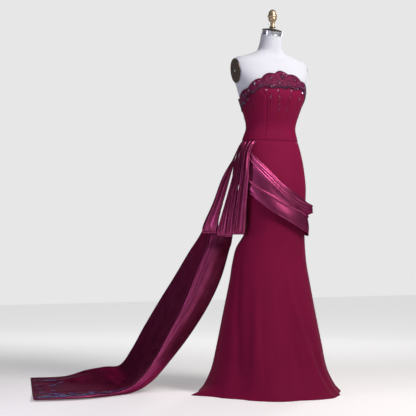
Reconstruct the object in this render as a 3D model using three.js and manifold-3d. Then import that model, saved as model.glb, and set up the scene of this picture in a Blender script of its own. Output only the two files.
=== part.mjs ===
// A strapless beaded evening gown on a limbless dress form: a princess-seamed bodice with a scalloped
// lace band, a fitted skirt that flares to the floor, a satin drape round the hips, four satin hip
// loops and a long satin train. Millimetres, +Z up, the wearer faces -Y and the floor is z = 0.
import * as THREE from "three";
import { mergeVertices } from "three/addons/utils/BufferGeometryUtils.js";
import Module from "manifold-3d";

const wasm = await Module();
wasm.setup();

const DEG = Math.PI / 180;

// ---------------------------------------------------------------- driving dimensions
const SEAM_GAP = 0.3;           // between two pieces at a seam
const LIE_GAP = 0.6;            // between a panel and what lies on it
const BODICE_THICK = 2.0;       // crepe on its canvas
const SKIRT_THICK = 1.6;        // crepe
const SATIN_THICK = 1.5;
const LACE_THICK = 1.2;
const SEWN_LIFT = SATIN_THICK + 0.45;   // outer face of satin whose top edge is sewn to the skirt
const WAIST_SEAM = 1036;        // height of the dropped waist seam
const FORM_INSET = 4.2;         // the form's face behind the gown's outer face
const HEM_FLARE_TOP = 640;      // the skirt's folds start below this height

// The gown's outer face, a row for each height: centre, half width, depth to the front and to the
// back, and the squareness of the section (2 is an ellipse).
const SHELL = [
  { z: 0, cx: 5, cy: 19, half: 291, front: 310, back: 292, power: 2 },
  { z: 25, cx: 5, cy: 19, half: 270, front: 276, back: 272, power: 2 },
  { z: 92, cx: 4, cy: 19, half: 239, front: 238, back: 244, power: 2 },
  { z: 193, cx: 4, cy: 19, half: 220, front: 207, back: 214, power: 2 },
  { z: 327, cx: 3, cy: 19, half: 197, front: 171, back: 180, power: 2 },
  { z: 461, cx: 2, cy: 17, half: 173, front: 142, back: 148, power: 2 },
  { z: 530, cx: 0, cy: 15, half: 162, front: 128, back: 136, power: 2 },
  { z: 596, cx: 1, cy: 6, half: 150, front: 118, back: 128, power: 2 },
  { z: 655, cx: 9, cy: -12, half: 130, front: 106, back: 120, power: 2 },
  { z: 725, cx: 10, cy: -16, half: 131, front: 104, back: 98, power: 2 },
  { z: 800, cx: 7, cy: -10, half: 138, front: 112, back: 94, power: 2 },
  { z: 850, cx: 4, cy: -3, half: 147, front: 113, back: 108, power: 2 },
  { z: 930, cx: 1, cy: 3, half: 146, front: 104, back: 114, power: 2 },
  { z: 990, cx: 0, cy: 5, half: 136, front: 95, back: 106, power: 2 },
  { z: 1042, cx: -2, cy: 6, half: 124, front: 86, back: 92, power: 2 },
  { z: 1096, cx: 0, cy: 4, half: 111, front: 79, back: 77, power: 2 },
  { z: 1160, cx: 0, cy: 2, half: 127, front: 98, back: 84, power: 2 },
  { z: 1222, cx: 0, cy: 2, half: 148, front: 118, back: 92, power: 2 },
  { z: 1275, cx: 0, cy: 6, half: 160, front: 108, back: 94, power: 2.2 },
  { z: 1325, cx: 0, cy: 12, half: 181, front: 88, back: 90, power: 2.4 },
  { z: 1370, cx: 0, cy: 14, half: 180, front: 68, back: 74, power: 2.4 },
];

// The skirt's folds, from the front centre round to the wearer's left: a crest stands out, a
// trough falls in, and each fades out towards its top. The last row is the hem's loose tongue.
const FOLDS = [
  { angle: -56, width: 10, depth: -13, top: HEM_FLARE_TOP - 60 },
  { angle: -26, width: 11, depth: 8, top: HEM_FLARE_TOP - 120 },
  { angle: -7, width: 9, depth: -12, top: HEM_FLARE_TOP },
  { angle: 21, width: 11, depth: 9, top: HEM_FLARE_TOP - 90 },
  { angle: 54, width: 9, depth: -13, top: HEM_FLARE_TOP - 30 },
  { angle: 82, width: 12, depth: 10, top: HEM_FLARE_TOP - 110 },
  { angle: 108, width: 9, depth: -12, top: HEM_FLARE_TOP },
  { angle: 134, width: 12, depth: 11, top: HEM_FLARE_TOP - 50 },
  { angle: 159, width: 10, depth: -14, top: HEM_FLARE_TOP },
  { angle: 186, width: 12, depth: 10, top: HEM_FLARE_TOP - 80 },
  { angle: 212, width: 9, depth: -13, top: HEM_FLARE_TOP - 20 },
  { angle: 238, width: 11, depth: 9, top: HEM_FLARE_TOP - 60 },
  { angle: 264, width: 9, depth: 58, top: 40 },
];

// Heights of the skirt's rows: close together where it kicks out, flares from the knee and rounds
// the hips.
const SKIRT_ROWS = [
  0, 25, 60, 120, 200, 290, 380, 460, 530, 590, 635, 680, 725, 770, 810, 850, 890, 935, 985,
];

// The neckline and the lace's lower edge, by the angle from the front centre, alike on both sides.
const NECKLINE = [
  { angle: 0, top: 1326, laceFoot: 1243 },
  { angle: 20, top: 1308, laceFoot: 1244 },
  { angle: 40, top: 1286, laceFoot: 1242 },
  { angle: 60, top: 1261, laceFoot: 1217 },
  { angle: 78, top: 1238, laceFoot: 1190 },
  { angle: 96, top: 1217, laceFoot: 1168 },
  { angle: 140, top: 1203, laceFoot: 1154 },
  { angle: 180, top: 1199, laceFoot: 1150 },
];
const SCALLOP_PITCH = 68;       // along the neckline
const SCALLOP_RISE = 9;
const BODICE_DROP = 11;         // the crepe's top edge below the lace's crests
const PRINCESS = 33;            // degrees, the princess seam below the bust
const BUST_SEAM_START = 1205;   // above this the princess seam bends towards the armhole
const SIDE_SEAM = 92;

// The satin drape, a row for each place round the hips: its upper edge, where its narrow pleats end,
// where its turned-over band starts, its lower edge, and how far those stand off the skirt.
const DRAPE = [
  { angle: -62, top: 994, pleatFoot: 950, bandTop: 866, foot: 806, lift: 3, bandLift: 8 },
  { angle: -56, top: 981, pleatFoot: 940, bandTop: 852, foot: 790, lift: 3, bandLift: 9 },
  { angle: -30, top: 922, pleatFoot: 886, bandTop: 811, foot: 741, lift: 3, bandLift: 13 },
  { angle: -6, top: 857, pleatFoot: 822, bandTop: 774, foot: 706, lift: 4, bandLift: 16 },
  { angle: 21, top: 811, pleatFoot: 767, bandTop: 757, foot: 673, lift: 7, bandLift: 18 },
  { angle: 45, top: 793, pleatFoot: 748, bandTop: 738, foot: 653, lift: 16, bandLift: 16 },
  { angle: 66, top: 786, pleatFoot: 742, bandTop: 731, foot: 645, lift: 26, bandLift: 10 },
  { angle: 92, top: 790, pleatFoot: 747, bandTop: 736, foot: 652, lift: 18, bandLift: 10 },
  { angle: 130, top: 826, pleatFoot: 785, bandTop: 768, foot: 694, lift: 6, bandLift: 12 },
  { angle: 180, top: 893, pleatFoot: 856, bandTop: 829, foot: 764, lift: 4, bandLift: 10 },
  { angle: 218, top: 950, pleatFoot: 918, bandTop: 888, foot: 836, lift: 3, bandLift: 6 },
  { angle: 232, top: 972, pleatFoot: 944, bandTop: 914, foot: 870, lift: 3, bandLift: 4 },
];
const DRAPE_GAP = 1.1;
const DRAPE_ROWS = 16;          // 8 for the pleats, 3 for the plain field and 5 for the band
const DRAPE_PLEATS = 4;
const DRAPE_PLEAT_RISE = 5.5;

// The loops and the train leave the right hip along a line behind the wearer's right. A place
// beside them is given as its distance out along that line, its distance to the near side of it
// (towards the front), and its height.
const SWEEP = 30 * DEG;

// The edges of the four hip loops from the rear one to the front one: the angle of the root on the
// hip, then the places on the way down to the turned-up end.
const LOOP_EDGES = [
  { root: -117, highOut: 200, highNear: 58, lowOut: 241, lowNear: 66, endOut: 286, endNear: 66 },
  { root: -101, highOut: 170, highNear: 70, lowOut: 201, lowNear: 76, endOut: 226, endNear: 78 },
  { root: -99, highOut: 160, highNear: 76, lowOut: 190, lowNear: 80, endOut: 223, endNear: 82 },
  { root: -88, highOut: 143, highNear: 88, lowOut: 171, lowNear: 90, endOut: 191, endNear: 88 },
  { root: -86, highOut: 141, highNear: 92, lowOut: 165, lowNear: 93, endOut: 188, endNear: 90 },
  { root: -76, highOut: 129, highNear: 103, lowOut: 145, lowNear: 101, endOut: 162, endNear: 94 },
  { root: -74, highOut: 126, highNear: 106, lowOut: 142, lowNear: 104, endOut: 159, endNear: 96 },
  { root: -49, highOut: 85, highNear: 133, lowOut: 96, lowNear: 119, endOut: 108, endNear: 93 },
];
const LOOP_HIGH = 890;          // heights of the named places
const LOOP_LOW = 780;
const LOOP_END = [656, 645, 641, 650];  // where each loop turns up, from the rear one
const LOOP_HOLLOW = 24;         // between the front and the back of a loop at its end
const LOOP_PLEAT = 5;           // crown across one loop
const LOOP_SWELL = { drop: 46, rise: 14 };  // how far the gathers stand out just below the seam
const LOOP_SEAT = 0.05;         // the share of a loop's length that bends from hip to strip

// The train, a row for each section from the hip to its end on the floor: its far edge, the ridge
// nearest the front, the edge tucked in beyond the ridge, how deep the cloth sags between the far
// edge and the ridge, and how round the ridge is. Its top edge lies on the hip, between two angles.
const TRAIN_ROOT = { from: -131, to: -100.5, z: 1021, lift: 1.3 };
const TRAIN = [
  { farOut: 123.5, farNear: -21, farZ: 1020, ridgeOut: 131.5, ridgeNear: 25, ridgeZ: 1021,
    tuckOut: 127, tuckNear: 50, tuckZ: 1022, sag: 0, roll: 0 },
  { farOut: 172, farNear: -38, farZ: 926, ridgeOut: 163, ridgeNear: 14, ridgeZ: 928,
    tuckOut: 147, tuckNear: 44, tuckZ: 930, sag: 0, roll: 2 },
  { farOut: 222, farNear: -58, farZ: 825, ridgeOut: 194, ridgeNear: 10, ridgeZ: 822,
    tuckOut: 138, tuckNear: 8, tuckZ: 823, sag: 2, roll: 3 },
  { farOut: 296, farNear: -88, farZ: 666, ridgeOut: 249, ridgeNear: 26, ridgeZ: 654,
    tuckOut: 163, tuckNear: 0, tuckZ: 633, sag: 8, roll: 12 },
  { farOut: 355, farNear: -122, farZ: 576, ridgeOut: 267, ridgeNear: 44, ridgeZ: 583,
    tuckOut: 175, tuckNear: 0, tuckZ: 587, sag: 12, roll: 14 },
  { farOut: 420, farNear: -165, farZ: 472, ridgeOut: 308, ridgeNear: 60, ridgeZ: 476,
    tuckOut: 209, tuckNear: 6, tuckZ: 470, sag: 14, roll: 14 },
  { farOut: 486, farNear: -212, farZ: 372, ridgeOut: 348, ridgeNear: 76, ridgeZ: 373,
    tuckOut: 261, tuckNear: 14, tuckZ: 357, sag: 18, roll: 14 },
  { farOut: 568, farNear: -285, farZ: 243, ridgeOut: 406, ridgeNear: 92, ridgeZ: 267,
    tuckOut: 334, tuckNear: 18, tuckZ: 240, sag: 22, roll: 14 },
  { farOut: 627, farNear: -345, farZ: 144, ridgeOut: 462, ridgeNear: 106, ridgeZ: 161,
    tuckOut: 412, tuckNear: 28, tuckZ: 137, sag: 26, roll: 12 },
  { farOut: 692, farNear: -425, farZ: 62, ridgeOut: 522, ridgeNear: 118, ridgeZ: 74,
    tuckOut: 492, tuckNear: 50, tuckZ: 46, sag: 30, roll: 9 },
  { farOut: 768, farNear: -468, farZ: 48, ridgeOut: 592, ridgeNear: 148, ridgeZ: 22,
    tuckOut: 576, tuckNear: 92, tuckZ: 2, sag: 36, roll: 5 },
  { farOut: 856, farNear: -465, farZ: 32, ridgeOut: 706, ridgeNear: 262, ridgeZ: 13,
    tuckOut: 700, tuckNear: 214, tuckZ: 0, sag: 22, roll: 4 },
  { farOut: 955, farNear: -449, farZ: 5, ridgeOut: 820, ridgeNear: 320, ridgeZ: 13,
    tuckOut: 818, tuckNear: 272, tuckZ: 0, sag: 8, roll: 4 },
  { farOut: 1100, farNear: -400, farZ: 3, ridgeOut: 922, ridgeNear: 345, ridgeZ: 13,
    tuckOut: 930, tuckNear: 296, tuckZ: 0, sag: 8, roll: 4 },
];

// The dress form above the gown, a row for each ring of its shoulders and neck.
const NECK = [
  { z: 1384, cy: 14, half: 158, front: 60, back: 66, lean: 0 },
  { z: 1394, cy: 14, half: 122, front: 54, back: 60, lean: 0 },
  { z: 1402, cy: 13, half: 96, front: 51, back: 56, lean: 2 },
  { z: 1411, cy: 12, half: 72, front: 50, back: 53, lean: 3 },
  { z: 1422, cy: 9, half: 55, front: 48, back: 51, lean: 5 },
  { z: 1450, cy: 2, half: 47, front: 45, back: 47, lean: 10 },
  { z: 1485, cy: -5, half: 43, front: 43, back: 44, lean: 16 },
];
const FORM_FOOT = 790;          // the form's flat underside
const NECK_LEAN = 16;           // degrees, the neck cap leans forward
const NECK_BAND_HEIGHT = 19;
const NECK_BAND_RADIUS = 43.5;
const FINIAL_HEIGHT = 77;
const ARM_PLATE = { x: 159.6, y: 14, z: 1327, tilt: 7.4, wide: 80, tall: 102, thick: 4 };
const POLE_RADIUS = 16;
const BASE_RADIUS = 195;
const BASE_HEIGHT = 26;

// The invisible zip's slider and its pull tab, at the top of the centre back seam.
const ZIP_TOP = 1186;
const SLIDER = { wide: 7, deep: 4, tall: 13 };
const TAB = { wide: 5, thick: 1.2, long: 26 };

// ---------------------------------------------------------------- small tools
function sample(rows, key, at, column) {
  // A smooth curve through one column of a table, by the key column.
  const last = rows.length - 1;
  if (at <= rows[0][key]) return rows[0][column];
  if (at >= rows[last][key]) return rows[last][column];
  let i = 0;
  while (at > rows[i + 1][key]) i += 1;
  const slope = (a, b) => (rows[b][column] - rows[a][column]) / (rows[b][key] - rows[a][key]);
  const span = rows[i + 1][key] - rows[i][key];
  const start = slope(Math.max(i - 1, 0), i + 1) * span;
  const end = slope(i, Math.min(i + 2, last)) * span;
  const t = (at - rows[i][key]) / span;
  const from = rows[i][column];
  const rise = rows[i + 1][column] - from;
  return from + start * t + (3 * rise - 2 * start - end) * t ** 2 + (start + end - 2 * rise) * t ** 3;
}

function mix(a, b, t) {
  return a + (b - a) * t;
}

function ease(t) {
  const s = Math.min(Math.max(t, 0), 1);
  return s * s * (3 - 2 * s);
}

function signedPower(value, power) {
  return Math.sign(value) * Math.abs(value) ** power;
}

function beside(out, near, z) {
  // A place by its distance out along the sweep, to its near side, and its height.
  const x = -Math.cos(SWEEP) * out - Math.sin(SWEEP) * near;
  const y = Math.sin(SWEEP) * out - Math.cos(SWEEP) * near;
  return new THREE.Vector3(x, y, z);
}

function solid(positions, index) {
  // A closed mesh from points and triangles, turned so that its faces point out.
  let volume = 0;
  const corner = (i) => positions[index[i]];
  for (let i = 0; i < index.length; i += 3) {
    volume += corner(i).dot(corner(i + 1).clone().cross(corner(i + 2)));
  }
  const order = volume < 0 ? index.slice().reverse() : index;
  const geometry = new THREE.BufferGeometry().setFromPoints(positions);
  geometry.setIndex(order);
  return geometry;
}

function wall(columns, rows, outerAt, innerAt, isOpen = () => false) {
  // A closed sheet between two faces that share one grid. A cell that isOpen names is left out, and
  // rims join the faces round the four edges and round what is left out.
  const points = [];
  for (const face of [outerAt, innerAt]) {
    for (let j = 0; j <= rows; j += 1) {
      for (let i = 0; i <= columns; i += 1) points.push(face(i / columns, j / rows));
    }
  }
  const half = points.length / 2;
  const isCloth = (i, j) => i >= 0 && j >= 0 && i < columns && j < rows && !isOpen(i, j);
  const index = [];
  const quad = (a, b, c, d) => index.push(a, b, c, a, c, d);
  for (let j = 0; j < rows; j += 1) {
    for (let i = 0; i < columns; i += 1) {
      if (!isCloth(i, j)) continue;
      const a = j * (columns + 1) + i;
      const corners = [a, a + 1, a + columns + 2, a + columns + 1];
      const besides = [[i, j - 1], [i + 1, j], [i, j + 1], [i - 1, j]];
      quad(...corners);
      quad(...corners.map((corner) => half + corner).reverse());
      besides.forEach(([k, l], side) => {
        const from = corners[side];
        const to = corners[(side + 1) % 4];
        if (!isCloth(k, l)) quad(to, from, half + from, half + to);
      });
    }
  }
  const used = [...new Set(index)];
  const place = new Map(used.map((old, at) => [old, at]));
  return solid(used.map((old) => points[old]), index.map((old) => place.get(old)));
}

function sheet(columns, rows, pointAt, thickness, isOpen) {
  // A wall behind a face: the inner face lies one thickness behind, along the face's normal.
  const step = 1e-3;
  const normalAt = (u, v) => {
    const across = pointAt(Math.min(u + step, 1), v).sub(pointAt(Math.max(u - step, 0), v));
    const along = pointAt(u, Math.min(v + step, 1)).sub(pointAt(u, Math.max(v - step, 0)));
    return along.cross(across).normalize();
  };
  const innerAt = (u, v) => {
    const point = pointAt(u, v).addScaledVector(normalAt(u, v), -thickness);
    point.z = Math.max(point.z, 0);
    return point;
  };
  return wall(columns, rows, pointAt, innerAt, isOpen);
}

function loft(rings) {
  // A closed solid through rings of points, with a flat fan at each end.
  const count = rings[0].length;
  const points = rings.flat();
  const index = [];
  for (let j = 0; j + 1 < rings.length; j += 1) {
    for (let i = 0; i < count; i += 1) {
      const a = j * count + i;
      const b = j * count + ((i + 1) % count);
      index.push(a, b, b + count, a, b + count, a + count);
    }
  }
  for (const [ring, start] of [[rings[0], 0], [rings.at(-1), points.length - count]]) {
    const hub = points.length;
    points.push(ring.reduce((sum, p) => sum.add(p), new THREE.Vector3()).divideScalar(count));
    for (let i = 0; i < count; i += 1) {
      const a = start + i;
      const b = start + ((i + 1) % count);
      index.push(...(start === 0 ? [b, a, hub] : [a, b, hub]));
    }
  }
  return solid(points, index);
}

function alongPoints(points, t) {
  return new THREE.CatmullRomCurve3(points, false, "centripetal").getPoint(t);
}

function toManifold(geometry) {
  const bare = geometry.clone();
  bare.deleteAttribute("normal");
  bare.deleteAttribute("uv");
  const merged = mergeVertices(bare, 1e-4);
  return new wasm.Manifold(new wasm.Mesh({
    numProp: 3,
    vertProperties: new Float32Array(merged.attributes.position.array),
    triVerts: new Uint32Array(merged.index.array),
  }));
}

function fromManifold(body) {
  const mesh = body.getMesh();
  const geometry = new THREE.BufferGeometry();
  geometry.setAttribute("position", new THREE.BufferAttribute(mesh.vertProperties, 3));
  geometry.setIndex(new THREE.BufferAttribute(mesh.triVerts, 1));
  return geometry;
}

// ---------------------------------------------------------------- materials
const finish = (color, roughness, metalness = 0) =>
  new THREE.MeshStandardMaterial({ color, roughness, metalness });
const crepe = finish(0x7c173c, 0.75);
const satin = finish(0x7a2a52, 0.32);
const lace = finish(0x541230, 0.6);
const linen = finish(0xeef0f5, 0.9);
const bronze = finish(0x5e5248, 0.45, 0.6);
const chrome = finish(0xa3a9b3, 0.2, 1);
const darkWood = finish(0x33261f, 0.5);
const brass = finish(0xb8a07f, 0.35, 0.8);
const iron = finish(0x2b2b2d, 0.6, 0.4);
const painted = finish(0x5c1230, 0.4, 0.3);

const gown = new THREE.Group();

function add(name, geometry, material, parent = gown) {
  const mesh = new THREE.Mesh(geometry, material);
  mesh.name = name;
  parent.add(mesh);
  return mesh;
}

// ---------------------------------------------------------------- the gown's outer face
function foldRise(angle, z) {
  let rise = 0;
  for (const fold of FOLDS) {
    if (z >= fold.top) continue;
    const turn = THREE.MathUtils.euclideanModulo(angle - fold.angle + 180, 360) - 180;
    rise += fold.depth * Math.exp(-((turn / fold.width) ** 2)) * (1 - z / fold.top) ** 1.4;
  }
  return rise;
}

function shell(angle, z, lift = 0) {
  // The point of the gown's outer face at an angle in degrees from the front centre, positive
  // towards the wearer's left, moved out level by the lift.
  const row = (column) => sample(SHELL, "z", z, column);
  const bend = 2 / row("power");
  const side = Math.sin(angle * DEG);
  const ahead = Math.cos(angle * DEG);
  const depth = ahead > 0 ? row("front") : row("back");
  const x = row("half") * signedPower(side, bend);
  const y = -depth * signedPower(ahead, bend);
  const normal = new THREE.Vector2(side / row("half"), -ahead / depth).normalize();
  const out = foldRise(angle, z) + lift;
  return new THREE.Vector3(row("cx") + x + normal.x * out, row("cy") + y + normal.y * out, z);
}

function seamTurn(z) {
  // Half a seam's gap as an angle at this height.
  return (SEAM_GAP / 2 / sample(SHELL, "z", z, "half")) / DEG;
}

function wornPanel(columns, rows, placeAt, thickness, lift = 0) {
  // A panel of the shell: placeAt gives the angle and height, and the wall lies inside its face.
  const face = (depth) => (u, v) => {
    const { angle, z } = placeAt(u, v);
    return shell(angle, z, lift - depth);
  };
  return wall(columns, rows, face(0), face(thickness));
}

// ---------------------------------------------------------------- bodice
const aside = (angle) => Math.abs(THREE.MathUtils.euclideanModulo(angle + 180, 360) - 180);
const necklineAt = (angle) => sample(NECKLINE, "angle", aside(angle), "top");
const laceFootAt = (angle) => sample(NECKLINE, "angle", aside(angle), "laceFoot");

function princessAt(z) {
  const above = Math.max(z - BUST_SEAM_START, 0) / 50;
  return Math.min(PRINCESS + 12 * above ** 1.5, 62);
}

function bodicePanel(fromAt, toAt, columns, rows = 10) {
  const foot = WAIST_SEAM + SEAM_GAP / 2;
  const placeAt = (u, v) => {
    // The edges lean with the height and the top follows the angle, so the two are found together.
    let z = foot;
    let angle = 0;
    for (let pass = 0; pass < 12; pass += 1) {
      angle = mix(fromAt(z) + seamTurn(z), toAt(z) - seamTurn(z), u);
      z = mix(foot, necklineAt(angle) - BODICE_DROP, v);
    }
    return { angle, z };
  };
  return wornPanel(columns, rows, placeAt, BODICE_THICK);
}

add("bodice_front_centre", bodicePanel((z) => -princessAt(z), princessAt, 12), crepe);
add("bodice_side_front_r", bodicePanel(() => -SIDE_SEAM, (z) => -princessAt(z), 6), crepe);
add("bodice_side_front_l", bodicePanel(princessAt, () => SIDE_SEAM, 6), crepe);
add("bodice_back_r", bodicePanel(() => 180, () => 360 - SIDE_SEAM, 9), crepe);
add("bodice_back_l", bodicePanel(() => SIDE_SEAM, () => 180, 9), crepe);

// ---------------------------------------------------------------- lace band
const neckLengths = [0];        // along the neckline from the front centre, for each degree
for (let angle = 1; angle <= 180; angle += 1) {
  const step = shell(angle, necklineAt(angle)).distanceTo(shell(angle - 1, necklineAt(angle - 1)));
  neckLengths.push(neckLengths.at(-1) + step);
}

function scallopWave(angle) {
  // 1 at a scallop's crest and 0 in the notch between two.
  const degree = Math.min(Math.floor(aside(angle)), 179);
  const part = aside(angle) - degree;
  const length = mix(neckLengths[degree], neckLengths[degree + 1], part);
  return Math.abs(Math.cos(Math.PI * length / SCALLOP_PITCH));
}

function laceBand() {
  const opening = 2;            // degrees left open at the centre back
  const placeAt = (u, v) => {
    const angle = mix(-180 + opening, 180 - opening, u);
    const top = necklineAt(angle) - SCALLOP_RISE * (1 - scallopWave(angle) ** 0.8);
    const foot = laceFootAt(angle) + 6 * (1 - scallopWave(angle));
    return { angle, z: mix(foot, top, v) };
  };
  return wornPanel(76, 4, placeAt, LACE_THICK, LIE_GAP + LACE_THICK);
}

add("lace_band", laceBand(), lace);

// ---------------------------------------------------------------- skirt
function skirtPanel(from, to, columns) {
  const top = WAIST_SEAM - SEAM_GAP / 2;
  const heights = [...SKIRT_ROWS, top];
  const placeAt = (u, v) => {
    const z = heights[Math.round(v * SKIRT_ROWS.length)];
    return { angle: mix(from + seamTurn(z), to - seamTurn(z), u), z };
  };
  return wornPanel(columns, SKIRT_ROWS.length, placeAt, SKIRT_THICK);
}

add("skirt_front", skirtPanel(-SIDE_SEAM, SIDE_SEAM, 24), crepe);
add("skirt_back_l", skirtPanel(SIDE_SEAM, 180, 12), crepe);
add("skirt_back_r", skirtPanel(180, 360 - SIDE_SEAM, 12), crepe);

// ---------------------------------------------------------------- hip drape
function drapePlace(angle, v) {
  // Narrow pleats along the top, a plain field, then the band that is turned over and hangs free.
  const row = (column) => sample(DRAPE, "angle", angle, column);
  const pleatShare = 8 / DRAPE_ROWS;
  const bandShare = 11 / DRAPE_ROWS;
  const base = DRAPE_GAP + SATIN_THICK;
  if (v < pleatShare) {
    const w = v / pleatShare;
    const pleat = DRAPE_PLEAT_RISE * Math.abs(Math.sin(w * DRAPE_PLEATS * Math.PI));
    return { z: mix(row("top"), row("pleatFoot"), w), lift: base + row("lift") * ease(w * 3) + pleat };
  }
  if (v < bandShare) {
    const w = (v - pleatShare) / (bandShare - pleatShare);
    const lift = mix(row("lift"), row("bandLift") * 0.45, w);
    return { z: mix(row("pleatFoot"), row("bandTop"), w), lift: base + lift + 4 * ease(w) };
  }
  const w = (v - bandShare) / (1 - bandShare);
  const crown = 3.5 * Math.sin(Math.PI * w);
  const lift = mix(row("bandLift") * 0.45 + 4, row("bandLift"), ease(w));
  return { z: mix(row("bandTop"), row("foot"), w), lift: base + lift + crown };
}

function drapePanel(from, to, columns) {
  const face = (depth) => (u, v) => {
    const angle = mix(from, to, u);
    const place = drapePlace(angle, v);
    return shell(angle, place.z, place.lift - depth);
  };
  return wall(columns, DRAPE_ROWS, face(0), face(SATIN_THICK));
}

const drapeTurn = seamTurn(750);
add("drape_front", drapePanel(-58, SIDE_SEAM - drapeTurn, 17), satin);
add("drape_back", drapePanel(SIDE_SEAM + drapeTurn, 232, 13), satin);

// ---------------------------------------------------------------- hip loops
function loopEdge(edge, endZ) {
  // Down the front from the root, round the end, and up the back.
  const backStep = LOOP_HOLLOW;
  return [
    shell(edge.root, WAIST_SEAM - 2, SEWN_LIFT),
    shell(edge.root, WAIST_SEAM - LOOP_SWELL.drop, LOOP_SWELL.rise),
    beside(edge.highOut, edge.highNear, LOOP_HIGH),
    beside(edge.lowOut, edge.lowNear, LOOP_LOW),
    beside(edge.endOut - 3, edge.endNear, endZ + 26),
    beside(edge.endOut, edge.endNear - backStep * 0.5, endZ),
    beside(edge.endOut - 3, edge.endNear - backStep, endZ + 26),
    beside(edge.lowOut, edge.lowNear - backStep * 0.8, LOOP_LOW),
    beside(edge.highOut - 2, edge.highNear - backStep * 0.4, LOOP_HIGH),
  ];
}

function hipLoop(number) {
  const endZ = LOOP_END[number];
  const rear = loopEdge(LOOP_EDGES[number * 2], endZ);
  const front = loopEdge(LOOP_EDGES[number * 2 + 1], endZ);
  const [rearRoot, frontRoot] = LOOP_EDGES.slice(number * 2, number * 2 + 2);
  const rootAt = (u) => shell(mix(rearRoot.root, frontRoot.root, u), WAIST_SEAM - 2, SEWN_LIFT);
  const pointAt = (u, v) => {
    const a = alongPoints(rear, v);
    const b = alongPoints(front, v);
    const width = a.distanceTo(b);
    const outward = v < 0.58 ? 1 : -1;
    const crown = LOOP_PLEAT * Math.min(width / 40, 1.4) * Math.sin(Math.PI * u) * outward;
    const turning = Math.min(Math.abs(v - 0.62) / 0.1, 1);
    const strip = a.lerp(b, u).add(beside(crown * turning * 0.5, crown * turning, 0));
    return strip.lerp(rootAt(u), Math.max(1 - v / LOOP_SEAT, 0));
  };
  return sheet(4, 19, pointAt, SATIN_THICK);
}

LOOP_END.forEach((_, number) => add(`hip_loop_${number + 1}`, hipLoop(number), satin));

// ---------------------------------------------------------------- train
function trainSection(along) {
  const rows = TRAIN.map((row, place) => ({ ...row, place }));
  const at = (column) => sample(rows, "place", along, column);
  const far = beside(at("farOut"), at("farNear"), at("farZ"));
  const ridge = beside(at("ridgeOut"), at("ridgeNear"), at("ridgeZ"));
  const tuck = beside(at("tuckOut"), at("tuckNear"), at("tuckZ"));
  const between = (share, sag) => far.clone().lerp(ridge, share).add(new THREE.Vector3(0, 0, -sag));
  const cheek = ridge.clone().lerp(tuck, 0.35).add(beside(-at("roll") * 0.2, at("roll"), 0));
  const section = [
    far, between(0.3, at("sag") * 0.9), between(0.65, at("sag")), between(0.9, at("sag") * 0.25),
    ridge, cheek, tuck,
  ];
  const seated = Math.max(1 - along, 0);
  return section.map((point, i) => {
    const angle = mix(TRAIN_ROOT.from, TRAIN_ROOT.to, i / (section.length - 1));
    return point.lerp(shell(angle, TRAIN_ROOT.z, TRAIN_ROOT.lift), seated);
  });
}

function trainPoint(u, v) {
  // The upper face keeps one thickness above the floor, and the tucked edge lies on it.
  const point = alongPoints(trainSection(v * (TRAIN.length - 1)), u);
  point.z = Math.max(point.z, u < 0.8 ? SATIN_THICK : 0);
  return point;
}

// Behind the loops the train's gathers part, so that light shows through between the loops.
const isTrainSlit = (i, j) => i >= 10 && i <= 11 && j >= 2 && j <= 5;
add("train", sheet(14, 28, trainPoint, SATIN_THICK, isTrainSlit), satin);

// ---------------------------------------------------------------- dress form
const FORM_SIDES = 26;

function formRing(pointAt) {
  return Array.from({ length: FORM_SIDES }, (_, i) => pointAt(i * 360 / FORM_SIDES));
}

function neckRing(row) {
  return formRing((angle) => {
    const ahead = Math.cos(angle * DEG);
    const y = -(ahead > 0 ? row.front : row.back) * ahead;
    const lean = Math.tan(row.lean * DEG);
    return new THREE.Vector3(row.half * Math.sin(angle * DEG), row.cy + y, row.z + y * lean);
  });
}

function armPlatePlace(side, distance) {
  // The arm plate's own frame: its face looks out along the armhole's axis and a little down.
  const place = new THREE.Object3D();
  place.rotation.set(0, side * (90 + ARM_PLATE.tilt) * DEG, 0);
  place.position.set(side * ARM_PLATE.x, ARM_PLATE.y, ARM_PLATE.z);
  place.translateZ(distance);
  place.updateMatrix();
  return place.matrix;
}

function formTorso() {
  const heights = [];
  for (let z = FORM_FOOT; z < 1372; z += 24) heights.push(z);
  const rings = heights.map((z) => formRing((angle) => shell(angle, z, -FORM_INSET)));
  rings.push(...NECK.map(neckRing));
  let torso = toManifold(loft(rings));
  for (const side of [-1, 1]) {
    const block = new THREE.BoxGeometry(300, 300, 80).translate(0, 0, 40);
    torso = torso.subtract(toManifold(block.applyMatrix4(armPlatePlace(side, 0))));
  }
  return fromManifold(torso);
}

add("form_torso", formTorso(), linen);

function ovalPlate(wide, tall, thick) {
  const outline = new THREE.Shape().absellipse(0, 0, tall / 2, wide / 2, 0, Math.PI * 2);
  return new THREE.ExtrudeGeometry(outline, {
    depth: thick - 1, bevelEnabled: true, bevelThickness: 0.5, bevelSize: 0.8, bevelOffset: -0.8,
    bevelSegments: 1, curveSegments: 12,
  }).translate(0, 0, 0.5);
}

for (const [side, letter] of [[-1, "r"], [1, "l"]]) {
  const plate = ovalPlate(ARM_PLATE.wide, ARM_PLATE.tall, ARM_PLATE.thick);
  add(`form_arm_plate_${letter}`, plate.applyMatrix4(armPlatePlace(side, SEAM_GAP)), bronze);
  const screw = new THREE.CylinderGeometry(2.6, 3.4, 1.8, 16).rotateX(Math.PI / 2);
  const seat = SEAM_GAP * 2 + ARM_PLATE.thick + 0.9;
  add(`form_arm_screw_${letter}`, screw.applyMatrix4(armPlatePlace(side, seat)), chrome);
}

// The cap's parts stand on the leaning top of the neck.
const neckTop = new THREE.Group();
neckTop.position.set(0, NECK.at(-1).cy, NECK.at(-1).z);
neckTop.rotation.set(NECK_LEAN * DEG, 0, 0);
gown.add(neckTop);

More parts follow.
